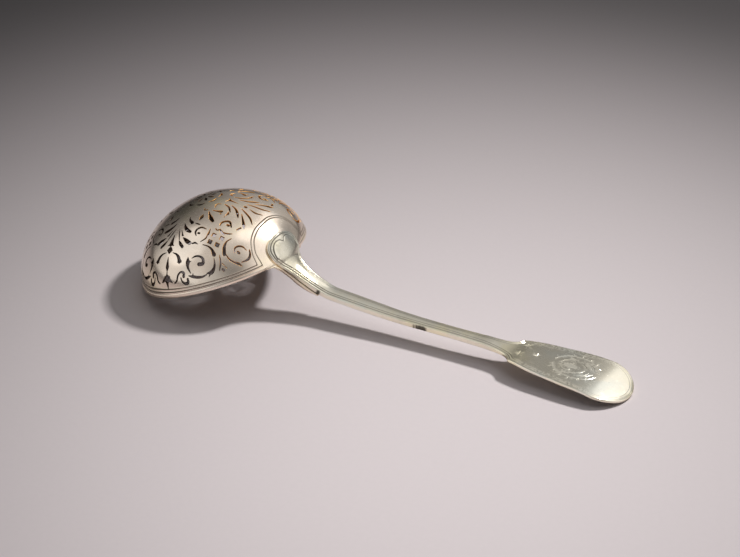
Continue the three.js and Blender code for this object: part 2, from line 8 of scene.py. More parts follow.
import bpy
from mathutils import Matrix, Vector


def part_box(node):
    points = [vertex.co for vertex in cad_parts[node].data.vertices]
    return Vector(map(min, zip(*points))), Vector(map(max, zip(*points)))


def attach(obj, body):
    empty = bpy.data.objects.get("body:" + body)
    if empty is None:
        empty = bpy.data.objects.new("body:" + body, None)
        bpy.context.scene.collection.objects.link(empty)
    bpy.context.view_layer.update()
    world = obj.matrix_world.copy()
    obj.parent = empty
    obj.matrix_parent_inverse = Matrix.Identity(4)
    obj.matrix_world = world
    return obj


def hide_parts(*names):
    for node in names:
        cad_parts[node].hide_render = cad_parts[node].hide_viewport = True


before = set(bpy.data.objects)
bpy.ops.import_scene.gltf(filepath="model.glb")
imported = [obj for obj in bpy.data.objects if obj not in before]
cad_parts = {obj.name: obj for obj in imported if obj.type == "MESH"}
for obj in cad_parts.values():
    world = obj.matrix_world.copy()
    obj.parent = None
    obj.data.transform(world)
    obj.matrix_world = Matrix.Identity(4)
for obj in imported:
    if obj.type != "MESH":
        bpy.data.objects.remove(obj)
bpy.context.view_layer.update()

import logging
import math
from dataclasses import dataclass, field
from enum import Enum
from typing import Callable, Sequence

import bpy
import numpy as np
from mathutils import Vector, geometry, kdtree

LOG = logging.getLogger("spoon")
MM = 0.001
HUNDREDTHS = 100.0
BODY = "root"
FULL_HOLLOW = 0.1
CRISP_ANGLE = math.radians(24.0)
CUT_STEP = 0.02
SHALLOW_CUT = 2e-3
# Lower skins take this much of the tarnish mask: tarnish, and painted shade under the handle and
# inside the bowl.
UNDERSIDE_TARNISH_AND_PAINTED_SHADE = 0.25
STAIN_EDGE = 2.5
STROKE_SPACING = 0.8
THINNEST_STROKE = 0.25
MERGE_DISTANCE = 1e-5
CHUNK = 400

# Small numbers that keep a division or a comparison safe.
CLOSE = 1e-9
GUARD = 1e-12
TINY = 1e-15

Table = Sequence[Sequence[float]]
Placement = Callable[[np.ndarray, np.ndarray], np.ndarray]
Field = Callable[[np.ndarray], np.ndarray]


def smooth_step(share: np.ndarray) -> np.ndarray:
    """Ease from 0 to 1 as the share does."""
    clipped = np.clip(share, 0.0, 1.0)
    return clipped * clipped * (3.0 - 2.0 * clipped)


def azimuth_between(azimuth: np.ndarray, middle: float) -> np.ndarray:
    """Angle on either side of a middle azimuth."""
    return np.abs((azimuth - middle + math.pi) % (2 * math.pi) - math.pi)


@dataclass(frozen=True)
class Wear:
    """A stretch of the mouth's edge that is bent out of its round.

    Attributes:
        depth: How far it is bent, in millimetres.
        azimuth: Where its middle lies.
        reach: How far it goes on round either side.
        heights: Where it starts to fade above the mouth, and where it is gone.
    """

    depth: float
    azimuth: float
    reach: float
    heights: tuple[float, float]

    def at(self, azimuth: np.ndarray, level: np.ndarray) -> np.ndarray:
        """How far the dome is bent at azimuths and heights above the mouth.

        Args:
            azimuth: Azimuths in radians.
            level: Heights above the mouth.

        Returns:
            A distance for each place.
        """
        low, high = self.heights
        beside = 1.0 - smooth_step(azimuth_between(azimuth, self.azimuth) / self.reach)
        return self.depth * beside * (1.0 - smooth_step((level - low) / (high - low)))


@dataclass(frozen=True)
class Sizes:
    """Driving sizes that several pieces share: those of the solids, and the mouth's wear."""

    mouth_radius: float = 34.3
    bowl_height: float = 26.2
    wall: float = 1.0
    apex_shift: float = 0.9
    rest_tilt: float = math.radians(18.2)
    crown_exponent: float = 1.86
    pattern_turn: float = math.radians(4.5)
    lip_height: float = 2.0
    lip_width: float = 1.7
    lip_proud: float = 0.15
    solder_gap: float = 0.3
    handle_set: float = 4.5
    end_set: float = 0.6
    handle_end: float = 204.6
    tongue_half_width: float = 10.6
    worn_in: Wear = Wear(0.9, math.radians(-152.0), math.radians(62.0), (4.0, 21.0))
    sagging: Wear = Wear(1.55, math.radians(-118.0), math.radians(70.0), (1.5, 6.5))


SIZES = Sizes()


def unit(rows: np.ndarray, guard: float = 0.0) -> np.ndarray:
    """Scale each row to unit length, with a guard where a row may have none."""
    return rows / (np.linalg.norm(rows, axis=1)[:, None] + guard)


def circle(angles: np.ndarray) -> np.ndarray:
    """Points of the unit circle."""
    return np.stack([np.cos(angles), np.sin(angles)], axis=1)


def spline(knots: Table, spacing: float) -> np.ndarray:
    """Run a centripetal curve through knots of any dimension.

    Args:
        knots: The points that the curve passes through, in order.
        spacing: The wanted distance between the points that come back.

    Returns:
        Points along the curve, the first and last knots included.
    """
    points = np.asarray(knots, float)
    if len(points) < 3:
        count = max(2, int(np.ceil(np.linalg.norm(points[-1] - points[0]) / spacing)) + 1)
        return points[0] + (points[-1] - points[0]) * np.linspace(0.0, 1.0, count)[:, None]
    padded = np.vstack([2 * points[0] - points[1], points, 2 * points[-1] - points[-2]])
    pieces = []
    for before, start, end, after in zip(padded, padded[1:], padded[2:], padded[3:]):
        gap_before, gap, gap_after = (
            max(np.linalg.norm(b - a), CLOSE) ** 0.5
            for a, b in ((before, start), (start, end), (end, after)))
        step = end - start
        leave = (start - before) / gap_before - (end - before) / (gap_before + gap) + step / gap
        arrive = step / gap - (after - start) / (gap + gap_after) + (after - end) / gap_after
        leave, arrive = leave * gap, arrive * gap
        count = max(1, int(np.ceil(np.linalg.norm(step) / spacing)))
        share = (np.arange(count) / count)[:, None]
        pieces.append(
            start + leave * share
            + (3 * step - 2 * leave - arrive) * share ** 2
            + (2 * (start - end) + leave + arrive) * share ** 3)
    return np.vstack(pieces + [points[-1:]])


def left_of(along: np.ndarray) -> np.ndarray:
    """Unit rows that point to the left of each row."""
    along = unit(along, GUARD)
    return np.stack([-along[:, 1], along[:, 0]], axis=1)


def normals_2d(line: np.ndarray) -> np.ndarray:
    """Unit normals to the left of a line of points."""
    return left_of(np.gradient(line[:, :2], axis=0))


def stroke_outline(line: np.ndarray, cap_steps: int = 4) -> np.ndarray:
    """Outline of a stroke whose width changes along it.

    Args:
        line: Rows of x, y and half width.
        cap_steps: Points round each end.

    Returns:
        A closed outline, without its first point repeated.
    """
    side = normals_2d(line) * line[:, 2:3]
    ends = []
    for point, normal, turn in ((line[-1], side[-1], -1.0), (line[0], -side[0], -1.0)):
        angles = np.linspace(0.0, math.pi, cap_steps + 2)[1:-1] * turn
        cos, sin = np.cos(angles)[:, None], np.sin(angles)[:, None]
        across = np.array([-normal[1], normal[0]])
        ends.append(point[:2] + normal * cos + across * sin)
    return np.vstack([line[:, :2] + side, ends[0], (line[:, :2] - side)[::-1], ends[1]])


def inside(points: np.ndarray, outline: np.ndarray) -> np.ndarray:
    """Which points lie inside a closed outline, by its winding number.

    Args:
        points: Points to test.
        outline: The closed outline.

    Returns:
        True for each point inside.
    """
    result = np.zeros(len(points), bool)
    low, high = outline.min(axis=0), outline.max(axis=0)
    near = np.nonzero(np.all((points >= low) & (points <= high), axis=1))[0]
    if not len(near):
        return result
    x, y = points[near, 0][:, None], points[near, 1][:, None]
    start, end = outline, np.roll(outline, -1, axis=0)
    step = end - start
    left = step[:, 0] * (y - start[:, 1]) - (x - start[:, 0]) * step[:, 1]
    up = (start[:, 1] <= y) & (end[:, 1] > y) & (left > 0)
    down = (start[:, 1] > y) & (end[:, 1] <= y) & (left < 0)
    result[near] = (up.sum(axis=1) - down.sum(axis=1)) != 0
    return result


@dataclass(frozen=True)
class Cut:
    """An engraved V cut.

    Attributes:
        line: Rows of x, y and half width along the cut's middle.
        slope: Depth in millimetres for each unit of half width.
        tarnish: What lies in it, from 1 for dark tarnish to -1 for pale bright metal; on the
            ornament and the stars these are also painted shadow and painted highlight.
    """

    line: np.ndarray
    slope: float
    tarnish: float = 1.0

    @property
    def full(self) -> float:
        """Depth from which the cut holds all that lies in it."""
        return min(FULL_HOLLOW, 0.5 * self.slope * float(self.line[:, 2].max()))

    def depth_at(self, points: np.ndarray) -> np.ndarray:
        """Depth of the cut at each point, zero outside it.

        Args:
            points: Plan points.

        Returns:
            A depth for each point.
        """
        reach = self.line[:, 2].max()
        depth = np.zeros(len(points))
        low, high = self.line[:, :2].min(axis=0) - reach, self.line[:, :2].max(axis=0) + reach
        near = np.nonzero(np.all((points >= low) & (points <= high), axis=1))[0]
        start, step = self.line[:-1], np.diff(self.line, axis=0)
        length = (step[:, :2] ** 2).sum(axis=1) + TINY
        for chunk in np.array_split(near, max(1, len(near) // CHUNK)):
            if not len(chunk):
                continue
            offset = points[chunk][:, None, :] - start[None, :, :2]
            share = np.clip((offset * step[None, :, :2]).sum(axis=2) / length, 0.0, 1.0)
            away = np.linalg.norm(offset - share[:, :, None] * step[None, :, :2], axis=2)
            deep = (start[None, :, 2] + share * step[None, :, 2] - away) * self.slope
            depth[chunk] = np.maximum(deep.max(axis=1), 0.0)
        return depth


@dataclass(frozen=True)
class WallRing:
    """A ring of the wall between two skins.

    Attributes:
        out: How far it stands out past the edge of the skins, in plan units.
        share: Its height as a share from the lower skin, 0, to the upper one, 1.
        lift: A height added to that, in millimetres.
        hollow: How far the tarnish mask darkens it.
    """

    out: float
    share: float
    lift: float
    hollow: float = 0.0


@dataclass
class Sheet:
    """A sheet of metal drawn flat, with holes and cuts, and laid over a form.

    Attributes:
        outline: Closed outline of the sheet in plan.
        holes: Closed outlines of what is sawn out.
        cuts: Engraved cuts in the upper skin.
        spacing: Distance between the points that fill the plan.
    """

    outline: np.ndarray
    holes: list[np.ndarray] = field(default_factory=list)
    cuts: list[Cut] = field(default_factory=list)
    spacing: float = 1.0

    def depth_at(self, points: np.ndarray) -> np.ndarray:
        """Depth of the deepest cut at each point.

        Args:
            points: Plan points.

        Returns:
            A depth for each point.
        """
        depth = np.zeros(len(points))
        for cut in self.cuts:
            depth = np.maximum(depth, cut.depth_at(points))
        return depth

    def constraints(self) -> tuple[np.ndarray, list[tuple[int, int]]]:
        """Every point and edge that the triangles have to follow.

        Returns:
            The points, and the edges as pairs of their numbers.
        """
        points: list[np.ndarray] = []
        edges: list[tuple[int, int]] = []
        count = 0
        rings = [(self.outline, True)] + [(hole, True) for hole in self.holes]
        for cut in self.cuts:
            side = normals_2d(cut.line) * cut.line[:, 2:3]
            middle = cut.line[:, :2]
            rings += [(middle, False), (middle + side, False), (middle - side, False)]
        for ring, closed in rings:
            number = len(ring)
            points.append(ring)
            edges += [(count + i, count + i + 1) for i in range(number - 1)]
            if closed:
                edges.append((count + number - 1, count))
            count += number
        return np.vstack(points), edges

    def metal_at(self, points: np.ndarray) -> np.ndarray:
        """Which points lie inside the outline and outside every hole.

        Args:
            points: Plan points.

        Returns:
            True for each point on metal.
        """
        keep = inside(points, self.outline)
        for hole in self.holes:
            keep &= ~inside(points, hole)
        return keep

    def filling(self, fixed: np.ndarray) -> np.ndarray:
        """Points in a hexagonal grid that fill the plan, clear of the fixed points.

        Args:
            fixed: Points that are there already.

        Returns:
            The new points.
        """
        low, high = self.outline.min(axis=0), self.outline.max(axis=0)
        rise = self.spacing * math.sqrt(3.0) / 2.0
        rows = np.arange(low[1], high[1], rise)
        grid = []
        for i, y in enumerate(rows):
            across = np.arange(low[0] + (i % 2) * self.spacing / 2, high[0], self.spacing)
            grid.append(np.column_stack([across, np.full(len(across), y)]))
        points = np.vstack(grid)
        points = points[self.metal_at(points)]
        tree = kdtree.KDTree(len(fixed))
        for i, (x, y) in enumerate(fixed):
            tree.insert((x, y, 0.0), i)
        tree.balance()
        clear = [tree.find((x, y, 0.0))[2] > 0.5 * self.spacing for x, y in points]
        return points[np.array(clear, bool)]

    def triangulate(self) -> tuple[np.ndarray, np.ndarray]:
        """Points and triangles of the sheet in plan, the holes left out.

        Returns:
            The points, and the triangles as rows of their numbers.
        """
        fixed, edges = self.constraints()
        points = np.vstack([fixed, self.filling(fixed)])
        given = [Vector(point) for point in points]
        result = geometry.delaunay_2d_cdt(given, edges, [], 0, MERGE_DISTANCE, False)
        plan = np.array([tuple(v) for v in result[0]])
        triangles = np.array([face for face in result[2] if len(face) == 3])
        triangles = triangles[self.metal_at(plan[triangles].mean(axis=1))]
        a, b, c = (plan[triangles[:, i]] for i in range(3))
        turn = (b - a)[:, 0] * (c - a)[:, 1] - (b - a)[:, 1] * (c - a)[:, 0]
        triangles[turn < 0] = triangles[turn < 0][:, ::-1]
        used, numbers = np.unique(triangles[np.abs(turn) > CLOSE], return_inverse=True)
        return plan[used], numbers.reshape(-1, 3)


@dataclass
class Body:
    """Points, faces, face slots and corner normals of one mesh as it is put together."""

    points: list[np.ndarray] = field(default_factory=list)
    tarnish_and_painted_light_rows: list[np.ndarray] = field(default_factory=list)
    faces: list[tuple[int, ...]] = field(default_factory=list)
    slots: list[int] = field(default_factory=list)
    normals: list[np.ndarray] = field(default_factory=list)
    engraved: list[bool] = field(default_factory=list)
    count: int = 0

    def add_points(self, points: np.ndarray, hollow: np.ndarray | float = 0.0) -> int:
        """Add points, with the value of the tarnish mask at each, which also carries painted light.

        Args:
            points: Points in millimetres.
            hollow: The mask at each of them, or at all.

        Returns:
            The number of the first new point.
        """
        first = self.count
        self.points.append(points)
        self.tarnish_and_painted_light_rows.append(np.broadcast_to(hollow, len(points)))
        self.count += len(points)
        return first

    def add_faces(
        self,
        faces: np.ndarray,
        slot: int,
        normals: np.ndarray | None = None,
        engraved: np.ndarray | None = None,
    ) -> None:
        """Add faces of one slot.

        Args:
            faces: Point numbers, a row for each face.
            slot: Material slot of the faces.
            normals: A normal for each corner, or zeros for automatic ones.
            engraved: Which faces are sides of a cut, and so have crisp edges.
        """
        self.faces += [tuple(int(i) for i in face) for face in faces]
        self.slots += [slot] * len(faces)
        self.engraved += [False] * len(faces) if engraved is None else engraved.tolist()
        corners = faces.shape[0] * faces.shape[1]
        self.normals.append(np.zeros((corners, 3)) if normals is None else normals.reshape(-1, 3))

    def stain(self, place: np.ndarray, reach: float) -> None:
        """Let tarnish lie round a place, in millimetres, as far as it reaches.

        Args:
            place: Middle of the stain.
            reach: Distance at which it ends.
        """
        for i, points in enumerate(self.points):
            near = 1.0 - np.linalg.norm(points - place, axis=1) / reach
            self.tarnish_and_painted_light_rows[i] = np.maximum(self.tarnish_and_painted_light_rows[i], np.clip(STAIN_EDGE * near, 0.0, 1.0))

    def sharpen(self, mesh: bpy.types.Mesh) -> None:
        """Keep the edges of engraved cuts crisp, and every other edge smooth.

        Args:
            mesh: The mesh of this body.
        """
        mesh.set_sharp_from_angle(angle=CRISP_ANGLE)
        corners, edges = len(mesh.loops), len(mesh.edges)
        edge_of = np.empty(corners, np.int32)
        mesh.loops.foreach_get("edge_index", edge_of)
        sizes = np.array([len(face) for face in self.faces])
        cut = np.zeros(edges, bool)
        cut[edge_of[np.repeat(np.array(self.engraved, bool), sizes)]] = True
        sharp = np.empty(edges, bool)
        mesh.edges.foreach_get("use_edge_sharp", sharp)
        mesh.edges.foreach_set("use_edge_sharp", sharp & cut)

    def build(self, name: str, materials: Sequence[bpy.types.Material]) -> bpy.types.Object:
        """Make the object, in metres.

        Args:
            name: Name of the object and its mesh.
            materials: Materials of the slots, in order.

        Returns:
            The object.
        """
        mesh = bpy.data.meshes.new(name)
        mesh.from_pydata(np.vstack(self.points) * MM, [], self.faces)
        for material in materials:
            mesh.materials.append(material)
        mesh.polygons.foreach_set("material_index", self.slots)
        mesh.polygons.foreach_set("use_smooth", [True] * len(self.faces))
        self.sharpen(mesh)
        mesh.normals_split_custom_set(np.vstack(self.normals).tolist())
        hollow = mesh.attributes.new("hollow", "FLOAT", "POINT")
        hollow.data.foreach_set("value", np.concatenate(self.tarnish_and_painted_light_rows).astype(np.float32))
        mesh.update()
        LOG.info("%s: %d faces", name, len(self.faces))
        return new_object(name, mesh)


def form_normals(
    place: Placement, plan: np.ndarray, level: Field, nudge: float, step: float,
) -> np.ndarray:
    """Normals of a skin that is laid over a form.

    Args:
        place: Gives places for plan points at heights over the form.
        plan: Where the normals are wanted.
        level: Height of the skin over the form at plan points.
        nudge: Plan distance that the form is measured over.
        step: Plan distance that the height is measured over.

    Returns:
        A unit normal for each plan point.
    """
    height = level(plan)
    ways = np.eye(2)
    slopes = [(level(plan + way * step) - level(plan - way * step)) / (2 * step) for way in ways]
    spans = [
        (place(plan + way * nudge, height) - place(plan - way * nudge, height)) / (2 * nudge)
        for way in ways]
    normal = unit(np.cross(*spans), TINY)
    along, across = (span + slope[:, None] * normal for span, slope in zip(spans, slopes))
    return unit(np.cross(along, across), TINY)


def lay_sheet(
    sheet: Sheet,
    place: Placement,
    top: Field,
    bottom: Field,
    wall: Sequence[WallRing],
    nudge: float,
    slots: tuple[int, int],
    dull_and_painted_reflection: Field | None = None,
) -> Body:
    """Lay a flat sheet over its form as a closed body.

    Args:
        sheet: The sheet in plan.
        place: Gives places for plan points at heights over the form.
        top: Height of the upper skin at plan points.
        bottom: Height of the lower skin at plan points.
        wall: Rings of the wall, from the upper skin down.
        nudge: Plan distance that normals are measured over.
        slots: Material slots of the wall and of the lower skin.
        dull_and_painted_reflection: Dullness of the upper skin at plan points, if there is any; on
            the handle's flat end it is painted dark reflection as well as tarnish.

    Returns:
        The body, not yet an object.
    """
    plan, triangles = sheet.triangulate()
    depth, hollow = np.zeros(len(plan)), np.zeros(len(plan))
    for cut in sheet.cuts:
        deep = cut.depth_at(plan)
        hollow = np.where(deep > depth, np.minimum(deep / cut.full, 1.0) * cut.tarnish, hollow)
        depth = np.maximum(depth, deep)
    # Uncut upper skin takes the dullness, which on the flat end is partly painted dark reflection.
    if dull_and_painted_reflection is not None:
        hollow = np.where(depth > 0.0, hollow, dull_and_painted_reflection(plan))
    upper, lower = top(plan), bottom(plan)
    smooth = form_normals(place, plan, top, nudge, nudge)
    side = 1.0 if np.mean(smooth[:, 2]) > 0 else -1.0
    smooth *= side
    body = Body()
    skin = place(plan, upper - depth)
    first = body.add_points(skin, hollow)
    faces = triangles if side > 0 else triangles[:, ::-1]
    corners = smooth[faces]
    cut_faces = (depth[faces] > SHALLOW_CUT).any(axis=1)
    middle = plan[faces[cut_faces]].mean(axis=1)
    sides = form_normals(place, middle, lambda p: top(p) - sheet.depth_at(p), nudge, CUT_STEP)
    corners[cut_faces] = (sides * side)[:, None, :]
    body.add_faces(faces + first, 0, corners, cut_faces)
    # Painted shade: the lower skin is darkened by a constant share of the tarnish mask.
    under = body.add_points(place(plan, lower), UNDERSIDE_TARNISH_AND_PAINTED_SHADE)
    body.add_faces(faces[:, ::-1] + under, slots[1])
    add_wall(body, plan, triangles, place, upper, lower, wall, (first, under, side, slots[0]))
    return body


def add_wall(
    body: Body,
    plan: np.ndarray,
    triangles: np.ndarray,
    place: Placement,
    upper: np.ndarray,
    lower: np.ndarray,
    wall: Sequence[WallRing],
    links: tuple[int, int, float, int],
) -> None:
    """Join the two skins along every free edge of the plan.

    Args:
        body: The body that gets the wall.
        plan: Plan points of the skins.
        triangles: Triangles of the skins.
        place: Gives places for plan points at heights over the form.
        upper: Heights of the upper skin.
        lower: Heights of the lower skin.
        wall: Rings of the wall, from the upper skin down.
        links: First upper point, first lower point, the side that faces out, and the slot.
    """
    first, under, side, slot = links
    sides = np.vstack([triangles[:, [0, 1]], triangles[:, [1, 2]], triangles[:, [2, 0]]])
    size = len(plan)
    key = sides[:, 0] * size + sides[:, 1]
    free = sides[~np.isin(key, sides[:, 1] * size + sides[:, 0])]
    edge = plan[free[:, 1]] - plan[free[:, 0]]
    out = unit(np.stack([edge[:, 1], -edge[:, 0]], axis=1), TINY)
    push = np.zeros((size, 2))
    np.add.at(push, free[:, 0], out)
    np.add.at(push, free[:, 1], out)
    push = unit(push, CLOSE)
    rim = np.unique(free)
    number = np.full(size, -1)
    number[rim] = np.arange(len(rim))
    rings = [rim + first]
    for ring in wall:
        height = lower[rim] + ring.share * (upper[rim] - lower[rim]) + ring.lift
        start = body.add_points(place(plan[rim] + push[rim] * ring.out, height), ring.hollow)
        rings.append(start + np.arange(len(rim)))
    rings.append(rim + under)
    a, b = number[free[:, 0]], number[free[:, 1]]
    for above, below in zip(rings, rings[1:]):
        quads = np.stack([above[a], below[a], below[b], above[b]], axis=1)
        body.add_faces(quads if side > 0 else quads[:, ::-1], slot)


def grid_body(rows: Sequence[np.ndarray], second: tuple[int, int] = (0, 0)) -> Body:
    """A closed body from rings of points, with a fan over its first and last ring.

    Args:
        rows: Rings of points, all of one length.
        second: First and last step round a ring that take the second slot.

    Returns:
        The body, not yet an object.
    """
    body = Body()
    count = len(rows[0])
    first = body.add_points(np.vstack(rows))
    step = np.arange(count)
    after = (step + 1) % count
    for i in range(len(rows) - 1):
        here, there = first + i * count, first + (i + 1) * count
        quads = np.stack([here + step, here + after, there + after, there + step], axis=1)
        inner = (step >= second[0]) & (step < second[1])
        body.add_faces(quads[~inner], 0)
        body.add_faces(quads[inner], 1)
    for row, turn in ((0, True), (len(rows) - 1, False)):
        middle = body.add_points(rows[row].mean(axis=0)[None, :])
        ring = first + row * count
        fan = np.stack([np.full(count, middle), ring + step, ring + after], axis=1)
        body.add_faces(fan[:, ::-1] if turn else fan, 0)
    return body


def rounded_section(half_width: float, thickness: float, radius: float) -> np.ndarray:
    """Section of a flat bar with rounded corners, anticlockwise about its middle.

    Args:
        half_width: Half the width of the bar.
        thickness: Its thickness.
        radius: Radius of its corners, at most.

    Returns:
        Rows of distance across and height.
    """
    radius = min(radius, thickness * 0.45)
    half = thickness / 2
    corner = circle(np.linspace(0.0, math.pi / 2, 4)) * radius
    across = np.linspace(1.0, -1.0, 15)[1:-1, None] * [half_width - radius, 0.0]
    right = corner + [half_width - radius, half - radius]
    left = corner[::-1] * [-1, 1] + [radius - half_width, half - radius]
    upper = np.vstack([right, across + [0.0, half], left])
    return np.vstack([upper, -upper])


class BowlForm:
    """The raised dome: its meridian, and the way to the resting frame."""

    samples = 2000

    def __init__(self, sizes: Sizes) -> None:
        """Measure the meridian and find how far the frame is shifted.

        Args:
            sizes: The driving sizes.
        """
        self.sizes = sizes
        angle = (1.0 - np.linspace(0.0, 1.0, self.samples + 1)) * math.pi / 2
        line = self.meridian(angle)
        steps = np.linalg.norm(np.diff(line, axis=0), axis=1)
        self.angles = angle
        self.lengths = np.concatenate([[0.0], np.cumsum(steps)])
        self.length = float(self.lengths[-1])
        self.heights = line[:, 1]
        front = sizes.lip_proud * math.cos(sizes.rest_tilt)
        front += 0.75 * sizes.lip_height * math.sin(sizes.rest_tilt)
        self.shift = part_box("lip_wire")[0].x / MM + front

    def meridian(self, angle: np.ndarray) -> np.ndarray:
        """Radius and height at angles from 0, the mouth, to a quarter turn, the apex.

        Args:
            angle: Angles in radians.

        Returns:
            Rows of radius and height.
        """
        power = 2.0 / self.sizes.crown_exponent
        radius = self.sizes.mouth_radius * np.abs(np.cos(angle)) ** power
        height = self.sizes.bowl_height * np.abs(np.sin(angle)) ** power
        return np.stack([radius, height], axis=-1)

    def share_at_height(self, height: float) -> float:
        """Share of the meridian at which the dome has that height."""
        return float(np.interp(-height, -self.heights, self.lengths) / self.length)

    def to_rest(self, points: np.ndarray) -> np.ndarray:
        """From the bowl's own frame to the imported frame.

        Args:
            points: Points in the bowl's own frame.

        Returns:
            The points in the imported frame.
        """
        cos, sin = math.cos(self.sizes.rest_tilt), math.sin(self.sizes.rest_tilt)
        x = points[:, 0] + self.sizes.mouth_radius
        z = points[:, 2]
        return np.stack([x * cos - z * sin + self.shift, points[:, 1], x * sin + z * cos], axis=1)

    def local(self, share: np.ndarray, azimuth: np.ndarray, height: np.ndarray) -> np.ndarray:
        """Points over the dome in the bowl's own frame.

        Args:
            share: Shares of the meridian, from 0 at the apex to 1 at the mouth.
            azimuth: Azimuths in radians.
            height: Heights over the dome.

        Returns:
            The points.
        """
        sizes = self.sizes
        angle = np.interp(np.clip(share, 0.0, 1.0) * self.length, self.lengths, self.angles)
        line = self.meridian(angle)
        reach = np.array([sizes.mouth_radius, sizes.bowl_height])
        lean = unit((line / reach) ** (sizes.crown_exponent - 1.0) / reach)
        radius, level = (line + lean * np.reshape(height, (-1, 1))).T
        radius = radius - sizes.worn_in.at(azimuth, level)
        level = level - sizes.sagging.at(azimuth, level)
        shift = sizes.apex_shift * line[:, 1] / sizes.bowl_height
        return np.stack([radius * np.cos(azimuth) + shift, radius * np.sin(azimuth), level], axis=1)

    def place(self, plan: np.ndarray, height: np.ndarray) -> np.ndarray:
        """Place pattern points, in hundredths of the meridian, at heights over the dome.

        Args:
            plan: Pattern points.
            height: Heights over the dome.

        Returns:
            The points.
        """
        share = np.linalg.norm(plan, axis=1) / HUNDREDTHS
        azimuth = np.arctan2(-plan[:, 1], plan[:, 0]) - self.sizes.pattern_turn
        return self.to_rest(self.local(share, azimuth, height))


def stretch(
    table: Table, along: tuple[float, float], wide: tuple[float, float],
) -> list[tuple[float, float]]:
    """Knots of an outline between two places along it.

    Args:
        table: Rows of a share along and a share of the widening.
        along: Lengths at its two ends.
        wide: Half widths that it runs between.

    Returns:
        Rows of length and half width.
    """
    return [
        (along[0] + far * (along[1] - along[0]), wide[0] + extra * (wide[1] - wide[0]))
        for far, extra in table]


@dataclass(frozen=True)
class HandleSizes:
    """Sizes of the handle alone, the same as the solid has."""

    neck_reach: float = 17.7
    neck_drop: float = 11.8
    drop_height: float = 9.6
    drop_half_width: float = 7.8
    drop_edge: float = 0.8
    drop_crown: float = 1.1
    stem_start: float = 83.0
    stem_end: float = 159.7
    stem_underside: float = 5.9
    root_half_width: float = 3.6
    waist_half_width: float = 2.8
    stem_edge: float = 1.9
    stem_crown: float = 0.5
    shoulder_half_width: float = 7.5
    end_half_width: float = 12.7
    flat_start: float = 163.0
    flat_end: float = 185.0
    flat_underside: float = 6.0
    bend_underside: float = 4.65
    end_edge: float = 1.1
    end_crown: float = 0.2
    bend_control: float = 196.0


